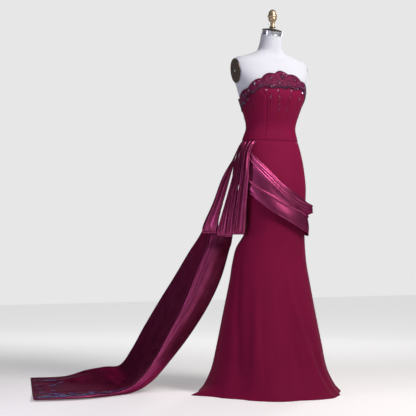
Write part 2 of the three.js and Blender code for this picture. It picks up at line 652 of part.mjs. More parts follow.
function turned(profile, sides = 26) {
  const points = profile.map(([radius, height]) => new THREE.Vector2(radius, height));
  return new THREE.LatheGeometry(points, sides).rotateX(Math.PI / 2);
}

const bandFoot = SEAM_GAP;
const bandTop = bandFoot + NECK_BAND_HEIGHT;
const capFoot = bandTop + SEAM_GAP;
add("form_neck_band", turned([
  [0, bandFoot], [NECK_BAND_RADIUS, bandFoot], [NECK_BAND_RADIUS, bandTop], [0, bandTop],
]), chrome, neckTop);
add("form_neck_cap", turned([
  [0, capFoot], [NECK_BAND_RADIUS - 1, capFoot], [NECK_BAND_RADIUS - 1, capFoot + 2],
  [30, capFoot + 5], [15.5, capFoot + 7.5], [0, capFoot + 7.5],
]), darkWood, neckTop);

// The finial stands upright over the cap's middle.
const finialFoot = new THREE.Vector3(0, NECK.at(-1).cy - 8, 1515);
const finial = turned([
  [0, 0], [13.5, 0], [13.5, 5], [9.6, 9], [9.4, 20], [12.5, 26], [17, 30], [17.6, 41], [20.8, 45],
  [20.8, 50], [17.8, 53.5], [16.6, 62], [12.6, 69.5], [6, 75], [0, FINIAL_HEIGHT],
], 18);
finial.translate(finialFoot.x, finialFoot.y, finialFoot.z);
add("form_finial", finial, brass);
const setScrew = new THREE.CylinderGeometry(3, 3, 8, 12).rotateZ(Math.PI / 2);
setScrew.translate(-9.6 - SEAM_GAP - 4, finialFoot.y, finialFoot.z + 14);
add("form_set_screw", setScrew, chrome);

// ---------------------------------------------------------------- stand
const poleFoot = BASE_HEIGHT + SEAM_GAP;
const pole = new THREE.CylinderGeometry(POLE_RADIUS, POLE_RADIUS, FORM_FOOT - poleFoot - SEAM_GAP, 20);
pole.rotateX(Math.PI / 2).translate(0, 0, (FORM_FOOT + poleFoot - SEAM_GAP) / 2);
add("stand_pole", pole, iron);
add("stand_base", turned([
  [0, 0], [BASE_RADIUS, 0], [BASE_RADIUS, 8], [BASE_RADIUS - 12, 14], [40, 20], [28, BASE_HEIGHT],
  [0, BASE_HEIGHT],
], 32), iron);

// ---------------------------------------------------------------- zip slider and its pull tab
const zipFace = shell(180, ZIP_TOP).y + LIE_GAP;
add("zip_slider", new THREE.BoxGeometry(SLIDER.wide, SLIDER.deep, SLIDER.tall)
  .translate(0, zipFace + SLIDER.deep / 2, ZIP_TOP), painted);

// The tab hangs from a hinge along X, half a thickness below the tab's upper end.
const hinge = new THREE.Vector3(0, zipFace + SLIDER.deep + SEAM_GAP + TAB.thick / 2, ZIP_TOP + 3);
add("zip_pull", new THREE.BoxGeometry(TAB.wide, TAB.thick, TAB.long)
  .translate(hinge.x, hinge.y, hinge.z + TAB.thick / 2 - TAB.long / 2), painted);

export default gown;
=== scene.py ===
# %% [markdown]
# # A beaded evening gown on its dress form
#
# The gown is strapless: crepe bodice panels under a beaded lace band, a long crepe skirt, and satin
# laid over it as a hip drape, four loops and a train. It stands on a limbless dress form.
#
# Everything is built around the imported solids. Sizes are written in millimetres, as a cutter would
# give them, and turned to metres in one place.

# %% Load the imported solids
import functools
import math
import random

import bmesh
import bpy
from mathutils import Matrix, Vector


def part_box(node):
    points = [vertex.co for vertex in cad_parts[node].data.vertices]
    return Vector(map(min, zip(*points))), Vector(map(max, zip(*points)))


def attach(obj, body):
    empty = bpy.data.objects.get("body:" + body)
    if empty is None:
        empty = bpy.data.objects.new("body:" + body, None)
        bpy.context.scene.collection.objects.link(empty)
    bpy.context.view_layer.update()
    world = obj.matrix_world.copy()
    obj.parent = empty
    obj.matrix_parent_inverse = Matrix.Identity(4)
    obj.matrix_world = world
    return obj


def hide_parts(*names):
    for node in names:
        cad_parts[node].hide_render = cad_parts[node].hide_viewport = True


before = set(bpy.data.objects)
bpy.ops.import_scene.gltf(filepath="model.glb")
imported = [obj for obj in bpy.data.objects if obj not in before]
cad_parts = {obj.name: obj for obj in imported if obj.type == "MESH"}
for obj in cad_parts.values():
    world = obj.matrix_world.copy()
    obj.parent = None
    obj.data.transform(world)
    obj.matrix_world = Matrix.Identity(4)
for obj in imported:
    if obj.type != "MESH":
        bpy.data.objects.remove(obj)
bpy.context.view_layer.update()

MM = 0.001

# %% [markdown]
# ## Floor and world
#
# Satin is only seen by what it reflects, so the studio comes first. The world is dark but for a
# sheet of white paper behind, so that the side of the gown turned away from the lamps stays deep.
# An evenly bright world would be simpler, but it would fill every fold and flatten the satin.

# %% Floor and world
scene = bpy.context.scene
scene.view_settings.view_transform = "Standard"


def colour(code):
    """Turns an sRGB hex code such as 7c173c into linear red, green, blue and alpha."""
    channels = [int(code[i:i + 2], 16) / 255 for i in (0, 2, 4)]
    linear = [c / 12.92 if c <= 0.04045 else ((c + 0.055) / 1.055) ** 2.4 for c in channels]
    return (*linear, 1.0)


def add_node(tree, kind, inputs=None, **settings):
    """Adds a node, sets its options, and fills or links its inputs by name or number."""
    node = tree.nodes.new(kind)
    for option, value in settings.items():
        setattr(node, option, value)
    for socket, value in (inputs or {}).items():
        if isinstance(value, bpy.types.NodeSocket):
            tree.links.new(value, node.inputs[socket])
        else:
            node.inputs[socket].default_value = value
    return node


def new_material(name, code, roughness, metallic=0.0, **sockets):
    """A Principled material with plain values on the shader's own sockets."""
    material = bpy.data.materials.new(name)
    material.use_nodes = True
    shader = material.node_tree.nodes["Principled BSDF"]
    shader.inputs["Base Color"].default_value = colour(code)
    shader.inputs["Roughness"].default_value = roughness
    shader.inputs["Metallic"].default_value = metallic
    for socket, value in sockets.items():
        shader.inputs[socket.replace("_", " ")].default_value = value
    return material, material.node_tree, shader


world = bpy.data.worlds.new("white studio")
world.use_nodes = True
scene.world = world
background = world.node_tree.nodes["Background"]
background.inputs["Color"].default_value = colour("ffffff")
towards = add_node(world.node_tree, "ShaderNodeTexCoord")
paper = add_node(
    world.node_tree, "ShaderNodeVectorMath", {0: towards.outputs["Generated"], 1: (0.5, 0.866, 0)},
    operation="DOT_PRODUCT",
)
paper_light = add_node(
    world.node_tree, "ShaderNodeMapRange",
    {"Value": paper.outputs["Value"], "From Min": 0.78, "From Max": 0.93, "To Min": 0.06, "To Max": 0.8},
    interpolation_type="SMOOTHSTEP",
)
world.node_tree.links.new(paper_light.outputs["Result"], background.inputs["Strength"])

# Matt white floor paint: a chalky binder rolled on by hand, whose rough face scatters light evenly,
# so it shows soft shadows and no shine. Its glow is painted light: the whole floor glows a little,
# and more towards the back, in place of lamps that would light it there.
floor_paint, tree, shader = new_material("matt white floor paint", "ececec", 0.9)
spot = add_node(tree, "ShaderNodeTexCoord")
behind = add_node(
    tree, "ShaderNodeVectorMath", {0: spot.outputs["Object"], 1: (0.5, 0.866, 0)},
    operation="DOT_PRODUCT",
)
# Painted light: the floor's emission rises from 0.22 in front to 0.62 behind, as if lamps lit it.
painted_floor_glow = add_node(
    tree, "ShaderNodeMapRange",
    {"Value": behind.outputs["Value"], "From Min": 0.6, "From Max": 2.6, "To Min": 0.22, "To Max": 0.62},
    interpolation_type="SMOOTHSTEP",
)
shader.inputs["Emission Color"].default_value = colour("ffffff")
tree.links.new(painted_floor_glow.outputs["Result"], shader.inputs["Emission Strength"])
FLOOR_SIDE = 14000
floor_mesh = bpy.data.meshes.new("floor")
bm = bmesh.new()
bmesh.ops.create_grid(bm, x_segments=1, y_segments=1, size=FLOOR_SIDE / 2 * MM)
bm.to_mesh(floor_mesh)
bm.free()
floor = bpy.data.objects.new("floor", floor_mesh)
floor.data.materials.append(floor_paint)
scene.collection.objects.link(floor)
print("floor", FLOOR_SIDE, "mm square")

# %% [markdown]
# ## Camera and lights
#
# The camera stands low and far off, a little to the wearer's right, so that the drape, the loops and
# the train are all seen, and its long lens keeps the stand upright. A large soft box in front lights
# the gown from above, and a narrow one on the left draws the edges of the folds. A sun would give
# hard shadows that no studio has.

# %% Camera and lights
CAMERA_AZIMUTH = -30        # degrees round from the front, towards the wearer's right
CAMERA_DISTANCE = 4500
CAMERA_HEIGHT = 600
CAMERA_TURN = 3.36          # degrees to the left of the stand's pole
CAMERA_PITCH = 2.06
CAMERA_LENS = 93.4          # on a 36 mm sensor
AIM = Vector((0, 0, 0.95))  # where every lamp points: the middle of the gown, in metres


def round_the_pole(azimuth, distance, height):
    """A place in metres at an azimuth in degrees, where 0 is straight in front of the wearer."""
    turn = math.radians(azimuth)
    return Vector((math.sin(turn) * distance, -math.cos(turn) * distance, height)) * MM


camera = bpy.data.objects.new("camera", bpy.data.cameras.new("camera"))
camera.data.lens = CAMERA_LENS
camera.location = round_the_pole(CAMERA_AZIMUTH, CAMERA_DISTANCE, CAMERA_HEIGHT)
camera.rotation_euler = [math.radians(a) for a in (90 + CAMERA_PITCH, 0, CAMERA_AZIMUTH + CAMERA_TURN)]
scene.collection.objects.link(camera)
scene.camera = camera

LIGHTS = [
    # name, azimuth, distance, height, width, tall, watts, tint
    ("key soft box", 20, 1550, 2200, 600, 900, 47, "fff8f6"),
    ("high front box", -15, 1100, 3000, 700, 700, 7, "fff8f6"),
    ("front fill", -55, 3800, 1300, 900, 1600, 5, "f4f0ff"),
    ("left strip", -84, 1900, 1000, 400, 900, 8, "efe4ff"),
    ("right rim", 132, 1900, 1900, 200, 900, 9, "ffffff"),
    ("back fill", 190, 3200, 2200, 1600, 1600, 5, "ffffff"),
]
for name, azimuth, distance, height, wide, tall, watts, tint in LIGHTS:
    lamp = bpy.data.lights.new(name, "AREA")
    lamp.shape = "RECTANGLE"
    lamp.size = wide * MM
    lamp.size_y = tall * MM
    lamp.energy = watts
    lamp.color = colour(tint)[:3]
    light = bpy.data.objects.new(name, lamp)
    light.location = round_the_pole(azimuth, distance, height)
    light.rotation_euler = (AIM - light.location).to_track_quat("-Z", "Y").to_euler()
    scene.collection.objects.link(light)
print("lights", len(LIGHTS))

# %% [markdown]
# ## Crepe
#
# Wool crepe is woven from hard twisted yarn, so its face is matt and finely pebbled. Image scans
# would do, but cells of a Voronoi pattern at the size of the grain need no file and never repeat.
# The grain is read from each piece's cut, in metres, so it runs with the cloth and not through it.


# %% Crepe
def grain(tree, size):
    """Coordinates on the piece's own cut, scaled so that one unit is a size in millimetres."""
    place = add_node(tree, "ShaderNodeUVMap", uv_map="cut")
    scale = 1 / (size * MM)
    return add_node(
        tree, "ShaderNodeMapping", {"Vector": place.outputs["UV"], "Scale": (scale, scale, scale)}
    ).outputs["Vector"]


def two_tones(tree, factor, dark, light):
    """A colour between two hex codes."""
    mixer = add_node(
        tree, "ShaderNodeMix", {0: factor, 6: colour(dark), 7: colour(light)}, data_type="RGBA"
    )
    return mixer.outputs[2]


def relieve(tree, shader, height, strength, depth, **settings):
    """Tilts the surface by a pattern, of a depth in millimetres, and gives the bump node back."""
    bump = add_node(
        tree, "ShaderNodeBump", {"Height": height, "Strength": strength, "Distance": depth * MM},
        **settings,
    )
    tree.links.new(bump.outputs["Normal"], shader.inputs["Normal"])
    return bump


CREPE_GRAIN = 1.6           # mm: real crepe's is 0.5, drawn coarser so that it shows
# Wool crepe: hard twisted yarns kink as they are woven, and the pebbled face scatters light, so it
# looks matt and deep, with a faint pink bloom at the edges.
crepe, tree, shader = new_material(
    "wool crepe", "74103a", 0.78, Specular_IOR_Level=0.08, Sheen_Weight=0.03, Sheen_Roughness=0.4
)
shader.inputs["Sheen Tint"].default_value = colour("d9709a")
pebble = add_node(
    tree, "ShaderNodeTexVoronoi", {"Vector": grain(tree, CREPE_GRAIN), "Scale": 1.0}, feature="F1"
)
drift = add_node(tree, "ShaderNodeTexNoise", {"Vector": grain(tree, 140), "Scale": 1.0, "Detail": 3.0})
tree.links.new(two_tones(tree, drift.outputs["Fac"], "6a0a31", "7a0f3a"), shader.inputs["Base Color"])
relieve(tree, shader, pebble.outputs["Distance"], 0.35, 0.25)
print(crepe.name)

# %% [markdown]
# ## Satin
#
# Satin floats its warp over the face, so light slides along the threads and comes back in the
# thread's own colour. A plain gloss would give white highlights. Here part of the reflection is
# coloured like a metal's, and a fine wave along the warp breaks it up.

# %% Satin
SATIN_RIB = 1.2             # mm between warp lines: a real one is 0.1
# Duchess satin: heavy silk whose long warp floats are pressed flat. It mirrors lamps as soft pink
# streaks and falls to near black where it faces the dark. The tint keeps the rim wine, not white.
satin, tree, shader = new_material("duchess satin", "7c2a52", 0.34, 0.85, Specular_IOR_Level=0.0)
shader.inputs["Specular Tint"].default_value = colour("542843")
warp = add_node(
    tree, "ShaderNodeTexWave",
    {"Vector": grain(tree, SATIN_RIB), "Scale": 0.3, "Distortion": 1.5, "Detail": 2.0},
)
slub = add_node(tree, "ShaderNodeTexNoise", {"Vector": grain(tree, 60), "Scale": 1.0, "Detail": 4.0})
tree.links.new(two_tones(tree, slub.outputs["Fac"], "742146", "b04c7a"), shader.inputs["Base Color"])
streak = add_node(
    tree, "ShaderNodeMapRange",
    {"Value": slub.outputs["Fac"], "To Min": 0.33, "To Max": 0.43},
)
tree.links.new(streak.outputs["Result"], shader.inputs["Roughness"])
relieve(tree, shader, warp.outputs["Fac"], 0.12, 0.1)
print(satin.name)

# %% [markdown]
# ## Lace, beads and crystals
#
# The band is corded lace: a net with flowers outlined in thick thread. Its bump is a fine cell
# pattern, and the same pattern paints the standing cords lighter and the holes darker, as painted
# highlight and painted shade. The beads and crystals on it are real shapes, made further down.
# Beads are glass with a lustre coat, and crystals are cut glass with foil behind, so both are close
# to mirrors.

# %% Lace, beads and crystals
LACE_MESH = 3.2             # mm across one cell of the net
# Corded lace: a knotted net with motifs outlined in thick rayon cord. Its colour is lighter on the
# cords and motif patches and darker in the holes: the motif patches are the lace's pattern, and the
# rest is painted light, a painted highlight on the standing cords and painted shade in the holes.
lace, tree, shader = new_material("corded lace", "4f1029", 0.6, Specular_IOR_Level=0.1)
cells = add_node(
    tree, "ShaderNodeTexVoronoi", {"Vector": grain(tree, LACE_MESH), "Scale": 1.0},
    feature="DISTANCE_TO_EDGE",
)
sprigs = add_node(
    tree, "ShaderNodeTexNoise", {"Vector": grain(tree, 11), "Scale": 1.0, "Detail": 2.0}
)
cord = add_node(
    tree, "ShaderNodeMapRange", {"Value": cells.outputs["Distance"], "From Max": 0.16, "To Min": 1.0,
                                 "To Max": 0.0}
)
patch = add_node(
    tree, "ShaderNodeMapRange", {"Value": sprigs.outputs["Fac"], "From Min": 0.46, "From Max": 0.56}
)
relief_and_painted_light = add_node(
    tree, "ShaderNodeMath", {0: cord.outputs["Result"], 1: patch.outputs["Result"]}, operation="MAXIMUM"
)
# Painted highlight and shade: lighter where the cords stand up, darker in the holes; motif patches are
# pattern.
tree.links.new(two_tones(tree, relief_and_painted_light.outputs["Value"], "3a0724", "721542"), shader.inputs["Base Color"])
relieve(tree, shader, relief_and_painted_light.outputs["Value"], 0.8, 0.5)

# Seed beads: drawn glass tube, chopped and tumbled until the ends are round, then lustred or lined
# with silver. The face is smooth, so each shows one small sharp highlight and the glass's colour.
BEAD_FINISHES = {
    "garnet": new_material("garnet glass bead", "5a0c2a", 0.2, 0.1, Coat_Weight=0.2)[0],
    "violet": new_material("iris glass bead", "200a26", 0.16, 0.2, Coat_Weight=0.3)[0],
    "silver": new_material("silver lined bead", "a99cc0", 0.18, 0.7, Coat_Weight=0.3)[0],
    "amethyst": new_material("amethyst glass bead", "5a4a9a", 0.2, 0.35, Coat_Weight=0.3)[0],
    "ruby": new_material("ruby glass bead", "a01020", 0.2, 0.1, Coat_Weight=0.2)[0],
}
# Cut crystal: pressed glass with ground facets and foil behind. Each facet mirrors another part of
# the room, so one flashes while the next is grey.
crystal, _, _ = new_material("foiled cut crystal", "c9b9da", 0.06, 0.6)
print("beads:", ", ".join(BEAD_FINISHES))

# %% [markdown]
# ## The dress form's finishes
#
# The form is covered in white jersey, whose only features are its knit and the fine seam where the
# cover's two halves meet. A picture of jersey would stretch over the shoulders, so the knit is a
# pattern of cells in the object's own coordinates.

# %% Jersey cover
# White cotton jersey: fine loops drawn tight over the mould. The fuzz of the yarn scatters light, so
# the cover is matt and even, a little soft at its edges.
cover, tree, shader = new_material("white jersey cover", "eef1f6", 0.88, Sheen_Weight=0.15)
place = add_node(tree, "ShaderNodeTexCoord")
knit = add_node(
    tree, "ShaderNodeTexVoronoi", {"Vector": place.outputs["Object"], "Scale": 1 / (1.4 * MM)}
)
axes = add_node(tree, "ShaderNodeSeparateXYZ", {"Vector": place.outputs["Object"]})
off_centre = add_node(tree, "ShaderNodeMath", {0: axes.outputs["X"]}, operation="ABSOLUTE")
SEAM_HALF = 0.9             # mm
seam_line = add_node(
    tree, "ShaderNodeMapRange",
    {"Value": off_centre.outputs["Value"], "From Max": SEAM_HALF * MM, "To Min": 1.0, "To Max": 0.0},
)
jersey_tone = two_tones(tree, seam_line.outputs["Result"], "bec2ca", "adb1b9")
tree.links.new(jersey_tone, shader.inputs["Base Color"])
knit_bump = relieve(tree, shader, knit.outputs["Distance"], 0.15, 0.2)
seam_bump = relieve(tree, shader, seam_line.outputs["Result"], 0.5, 0.5, invert=True)
tree.links.new(knit_bump.outputs["Normal"], seam_bump.inputs["Normal"])
print(cover.name)

# %% [markdown]
# ## Metals, wood and enamel
#
# Bought fittings are never quite even: plating dulls, wood takes stain unevenly and castings are
# rough. One function lets the colour and the shine drift together, and a stretch along one axis
# turns the same noise into brush marks, grain or lathe rings.


# %% Metals and wood
def worn_material(name, dark, light, roughness, metallic, size, stretch=(1, 1, 1), bump_by=0.15):
    """A hard finish whose colour and roughness drift with a noise of a size in millimetres."""
    material, tree, shader = new_material(name, light, roughness, metallic)
    place = add_node(tree, "ShaderNodeTexCoord")
    spread = add_node(
        tree, "ShaderNodeMapping", {"Vector": place.outputs["Object"], "Scale": stretch}
    )
    noise = add_node(
        tree, "ShaderNodeTexNoise",
        {"Vector": spread.outputs["Vector"], "Scale": 1 / (size * MM), "Detail": 5.0, "Roughness": 0.6},
    )
    tree.links.new(two_tones(tree, noise.outputs["Fac"], dark, light), shader.inputs["Base Color"])
    rough = add_node(
        tree, "ShaderNodeMapRange",
        {"Value": noise.outputs["Fac"], "To Min": roughness * 0.7, "To Max": roughness * 1.3},
    )
    tree.links.new(rough.outputs["Result"], shader.inputs["Roughness"])
    relieve(tree, shader, noise.outputs["Fac"], bump_by, 0.2)
    return material


# Stamped bronze sheet, brushed lengthwise and left to darken: brown, with a dull streaky gleam.
bronze = worn_material("patinated bronze", "3a3029", "776656", 0.42, 0.7, 9, (1, 1, 0.12))
# Chrome plate on polished steel: hard and smooth, nearly a mirror.
chrome = worn_material("polished chrome", "b4bac4", "d8dce2", 0.22, 0.8, 25, bump_by=0.02)
# Beech, turned, stained dark and lacquered: the grain shows faintly under a soft wet shine.
lacquer = worn_material("lacquered dark wood", "150f0c", "38281f", 0.3, 0.0, 5, (1, 6, 1))
# Brass, turned and only lightly polished: pale and warm, with fine rings that blur the light.
brass = worn_material("turned brass", "96805f", "cdbb9d", 0.34, 0.75, 12, (1, 1, 5))
# Cast iron, blasted and stoved with black enamel: dark, with a low broad shine.
iron = worn_material("black stove enamel on cast iron", "1c1c1e", "303033", 0.5, 0.2, 3)
# Zip metal dipped in burgundy enamel: the cloth's colour with a small hard gleam.
enamel = worn_material("burgundy zip enamel", "4a0c26", "6e1a3c", 0.35, 0.4, 3)
print("fittings: bronze, chrome, lacquer, brass, iron, enamel")

# %% [markdown]
# ## The gown's outer face
#
# A fitted gown has one smooth outer face that all its panels share. It is written as a short table,
# and a smooth curve runs through every column. Sculpting would be quicker for one fold, but a table
# lets the beads, the seams and the satin all find the same face. First come the curves.


# %% Curves through tables
def table(columns, *rows):
    """Rows of numbers as dictionaries with named columns."""
    return [dict(zip(columns.split(), row)) for row in rows]


def curve(rows, key, at, column):
    """A smooth curve through one column of a table, by its key column."""
    if at <= rows[0][key]:
        return rows[0][column]
    if at >= rows[-1][key]:
        return rows[-1][column]
    i = 0
    while at > rows[i + 1][key]:
        i += 1
    span = rows[i + 1][key] - rows[i][key]

    def slope(a, b):
        return (rows[b][column] - rows[a][column]) / (rows[b][key] - rows[a][key]) * span

    start = slope(max(i - 1, 0), i + 1)
    end = slope(i, min(i + 2, len(rows) - 1))
    t = (at - rows[i][key]) / span
    rise = rows[i + 1][column] - rows[i][column]
    bend = (3 * rise - 2 * start - end) * t ** 2 + (start + end - 2 * rise) * t ** 3
    return rows[i][column] + start * t + bend


def mix(a, b, t):
    return a + (b - a) * t


def ease(t):
    s = min(max(t, 0.0), 1.0)
    return s * s * (3 - 2 * s)


def bell(distance, width):
    """1 at the middle and 0 far off: the section of one soft fold."""
    return math.exp(-((distance / width) ** 2))


def turned_by(angle, middle):
    """Degrees from one angle round to another, from -180 to 180."""
    return (angle - middle + 180) % 360 - 180


def through(points, t):
    """A place along a smooth curve that passes through some points, for t from 0 to 1."""
    ends = [points[0] * 2 - points[1], *points, points[-1] * 2 - points[-2]]
    place = t * (len(points) - 1)
    i = min(int(place), len(points) - 2)
    t = place - i
    a, b, c, d = ends[i:i + 4]
    steps = [max((q - p).length, 1e-4) ** 0.5 for p, q in ((a, b), (b, c), (c, d))]
    leave = (b - a) / steps[0] - (c - a) / (steps[0] + steps[1]) + (c - b) / steps[1]
    arrive = (c - b) / steps[1] - (d - b) / (steps[1] + steps[2]) + (d - c) / steps[2]
    leave *= steps[1]
    arrive *= steps[1]
    bend = (3 * (c - b) - 2 * leave - arrive) * t ** 2
    return b + leave * t + bend + (leave + arrive - 2 * (c - b)) * t ** 3


print("a fold's section at its width:", round(bell(1, 1), 3))

# %% [markdown]
# Each level section is an oval with its own centre, half width, and depth to the front and the back.
# Higher powers square it off, as across the shoulder blades. Over the lower skirt the big folds are
# added, each a soft ridge or valley that dies out upwards.


# %% The outer face
SHELL = table(
    "z cx cy half front back power",
    (0, 5, 19, 291, 310, 292, 2),
    (25, 5, 19, 270, 276, 272, 2),
    (92, 4, 19, 239, 238, 244, 2),
    (193, 4, 19, 220, 207, 214, 2),
    (327, 3, 19, 197, 171, 180, 2),
    (461, 2, 17, 173, 142, 148, 2),
    (530, 0, 15, 162, 128, 136, 2),
    (596, 1, 6, 150, 118, 128, 2),
    (655, 9, -12, 130, 106, 120, 2),
    (725, 10, -16, 131, 104, 98, 2),
    (800, 7, -10, 138, 112, 94, 2),
    (850, 4, -3, 147, 113, 108, 2),
    (930, 1, 3, 146, 104, 114, 2),
    (990, 0, 5, 136, 95, 106, 2),
    (1042, -2, 6, 124, 86, 92, 2),
    (1096, 0, 4, 111, 79, 77, 2),
    (1160, 0, 2, 127, 98, 84, 2),
    (1222, 0, 2, 148, 118, 92, 2),
    (1275, 0, 6, 160, 108, 94, 2.2),
    (1325, 0, 12, 181, 88, 90, 2.4),
    (1370, 0, 14, 180, 68, 74, 2.4),
)
FOLDS = table(
    "angle width depth top",
    (-56, 10, -13, 580), (-26, 11, 8, 520), (-7, 9, -12, 640), (21, 11, 9, 550),
    (54, 9, -13, 610), (82, 12, 10, 530), (108, 9, -12, 640), (134, 12, 11, 590),
    (159, 10, -14, 640), (186, 12, 10, 560), (212, 9, -13, 620), (238, 11, 9, 580),
    (264, 9, 58, 40),
)


@functools.lru_cache(maxsize=None)
def section(z):
    """The oval section of the outer face at a height."""
    return {column: curve(SHELL, "z", z, column) for column in SHELL[0] if column != "z"}


def fold_rise(angle, z):
    """How far the skirt's big folds stand out at a place."""
    return sum(
        fold["depth"] * bell(turned_by(angle, fold["angle"]), fold["width"])
        * (1 - z / fold["top"]) ** 1.4
        for fold in FOLDS if z < fold["top"]
    )


def shell(angle, z, lift=0.0):
    """The outer face at an angle from the front centre, positive towards the wearer's left."""
    row = section(round(z, 3))
    side = math.sin(math.radians(angle))
    ahead = math.cos(math.radians(angle))
    bend = 2 / row["power"]
    depth = row["front"] if ahead > 0 else row["back"]
    x = row["half"] * math.copysign(abs(side) ** bend, side)
    y = -depth * math.copysign(abs(ahead) ** bend, ahead)
    normal = Vector((side / row["half"], -ahead / depth, 0)).normalized()
    out = fold_rise(angle, z) + lift
    return Vector((row["cx"] + x, row["cy"] + y, z)) + normal * out


WAIST = 1096
waist = section(WAIST)
waist_depth = (waist["front"] + waist["back"]) / 2
print("waist girth", round(2 * math.pi * math.hypot(waist["half"], waist_depth) / math.sqrt(2)), "mm")

# %% [markdown]
# ## One way to make a panel of cloth
#
# Each panel starts as a flat grid, the cloth as it was cut, and every point is then moved to where
# the panel is worn. The flat grid is kept as the UV map in metres, so patterns follow the cloth.
# A Solidify modifier gives the thickness. Simulating the drop of the cloth was the other choice, but
# the folds of a fitted gown are sewn in, so placing them one by one is closer.


# %% Cloth
def cut_size(place, steps=24):
    """The widest and longest run of a piece, in metres, which is the flat size of its cut."""
    def run(points):
        return sum((b - a).length for a, b in zip(points, points[1:])) * MM

    share = [i / steps for i in range(steps + 1)]
    width = max(run([place(u, v) for u in share]) for v in share[::4])
    length = max(run([place(u, v) for v in share]) for u in share[::4])
    return width, length


def to_object(name, bm, material, body="gown"):
    """Turns a bmesh in millimetres into an object that rides on a body."""
    bmesh.ops.scale(bm, vec=(MM, MM, MM), verts=bm.verts)
    mesh = bpy.data.meshes.new(name)
    bm.to_mesh(mesh)
    bm.free()
    piece = bpy.data.objects.new(name, mesh)
    mesh.materials.append(material)
    scene.collection.objects.link(piece)
    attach(piece, body)
    return piece


def cloth(name, node, columns, rows, place, thickness, material, flip=False):
    """A panel of cloth: a flat grid moved to place(u, v), with its cut kept as a UV map."""
    width, length = cut_size(place)
    bm = bmesh.new()
    bmesh.ops.create_grid(bm, x_segments=columns, y_segments=rows, size=0.5)
    cut = bm.loops.layers.uv.new("cut")
    for face in bm.faces:
        face.smooth = True
        for loop in face.loops:
            loop[cut].uv = ((loop.vert.co.x + 0.5) * width, (loop.vert.co.y + 0.5) * length)
    for vert in bm.verts:
        u, v = (min(max(round(c + 0.5, 6), 0.0), 1.0) for c in vert.co[:2])
        vert.co = place(u, v)
    if flip:
        bmesh.ops.reverse_faces(bm, faces=bm.faces)
    area = sum(face.calc_area() for face in bm.faces) * MM ** 2
    piece = to_object(name, bm, material)
    wall = piece.modifiers.new("thickness", "SOLIDIFY")
    wall.thickness = thickness * MM
    wall.offset = -1
    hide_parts(node)
    print(f"{name}: cut {width * 1000:.0f} x {length * 1000:.0f} mm, {area:.3f} m2")
    return piece


# %% [markdown]
# ## Bodice
#
# Five crepe panels are joined by princess seams over the bust, side seams and a back seam with the
# zip. A seam shows as a narrow valley, because the panels' edges turn in to be sewn. The edges of
# each panel are therefore pulled in over their last few millimetres.

# %% Bodice panels
SEAM_GAP = 0.3
LIE_GAP = 0.6
BODICE_THICK = 2.0
WAIST_SEAM = 1036
SIDE_SEAM = 92
STITCH_GAP = 0.1            # between two panels, along their stitching
SEAM_VALLEY = 1.3           # depth of a seam's valley
SEAM_TURN = 4.0             # how far from the edge it starts
BODICE_DROP = 11            # from the lace's top edge down to the crepe's
BODICE_TALL = 190
BODICE_DEGREE = 2.3         # mm round the bodice in one degree
NECKLINE = table(
    "angle top foot",
    (0, 1326, 1243), (20, 1308, 1244), (40, 1286, 1242), (60, 1261, 1217), (78, 1238, 1190),
    (96, 1217, 1168), (140, 1203, 1154), (180, 1199, 1150),
)


def neckline(angle, column="top"):
    return curve(NECKLINE, "angle", abs(turned_by(angle, 0)), column)


def princess(z):
    """The princess seam's angle: upright to the bust, then bent towards the armhole."""
    return min(33 + 12 * (max(z - 1205, 0) / 50) ** 1.5, 62)


def half_gap(z):
    return math.degrees(STITCH_GAP / 2 / section(round(z, 3))["half"])


def turned_in(u, v, width, length):
    """How far a panel's edge is pulled in where it turns to be sewn."""
    edge = min(u * width, (1 - u) * width, v * length)
    return SEAM_VALLEY * bell(edge, SEAM_TURN)


def bodice_panel(from_at, to_at):
    foot = WAIST_SEAM + SEAM_GAP / 2
    width = abs(to_at(1150) - from_at(1150)) * BODICE_DEGREE

    def place(u, v):
        z, angle = foot, 0.0
        for _ in range(10):
            angle = mix(from_at(z) + half_gap(z), to_at(z) - half_gap(z), u)
            z = mix(foot, neckline(angle) - BODICE_DROP, v)
        # The cloth drags a little at the waist, in a row of shallow dents and one level ridge.
        drag = 0.7 * bell(z - 1092, 9) * math.sin(math.radians(angle * 5)) + 0.5 * bell(z - 1062, 7)
        return shell(angle, z, drag - turned_in(u, v, width, BODICE_TALL))

    return place


BODICE = [
    ("front_centre", lambda z: -princess(z), princess, 72),
    ("side_front_r", lambda z: -SIDE_SEAM, lambda z: -princess(z), 52),
    ("side_front_l", princess, lambda z: SIDE_SEAM, 52),
    ("back_r", lambda z: 180, lambda z: 360 - SIDE_SEAM, 68),
    ("back_l", lambda z: SIDE_SEAM, lambda z: 180, 68),
]
for part, from_at, to_at, columns in BODICE:
    cloth(f"crepe_bodice_{part}", f"bodice_{part}", columns, 64, bodice_panel(from_at, to_at),
          BODICE_THICK, crepe)

# %% [markdown]
# ## Lace band
#
# The band ends in scallops that keep their size all round, so they are spaced along the neckline's
# length and not by angle. The neckline is measured once, degree by degree.

# %% Lace band
LACE_THICK = 1.2
SCALLOP_PITCH = 68
SCALLOP_RISE = 9
BACK_OPENING = 2            # degrees left open over the zip
BAND_END = 5                # mm of the band with no beads, beside the zip

neck_lengths = [0.0]
for degree in range(1, 181):
    step = shell(degree, neckline(degree)) - shell(degree - 1, neckline(degree - 1))
    neck_lengths.append(neck_lengths[-1] + step.length)


def length_at(angle):
    aside = min(abs(turned_by(angle, 0)), 179.999)
    return mix(neck_lengths[int(aside)], neck_lengths[int(aside) + 1], aside % 1)


def angle_at(length):
    """The angle at a length along the neckline from the front centre, with the length's sign."""
    degree = max(i for i in range(180) if neck_lengths[i] <= abs(length) or i == 0)
    step = neck_lengths[degree + 1] - neck_lengths[degree]
    return math.copysign(degree + (abs(length) - neck_lengths[degree]) / step, length)


def scallop(angle):
    return abs(math.cos(math.pi * length_at(angle) / SCALLOP_PITCH))


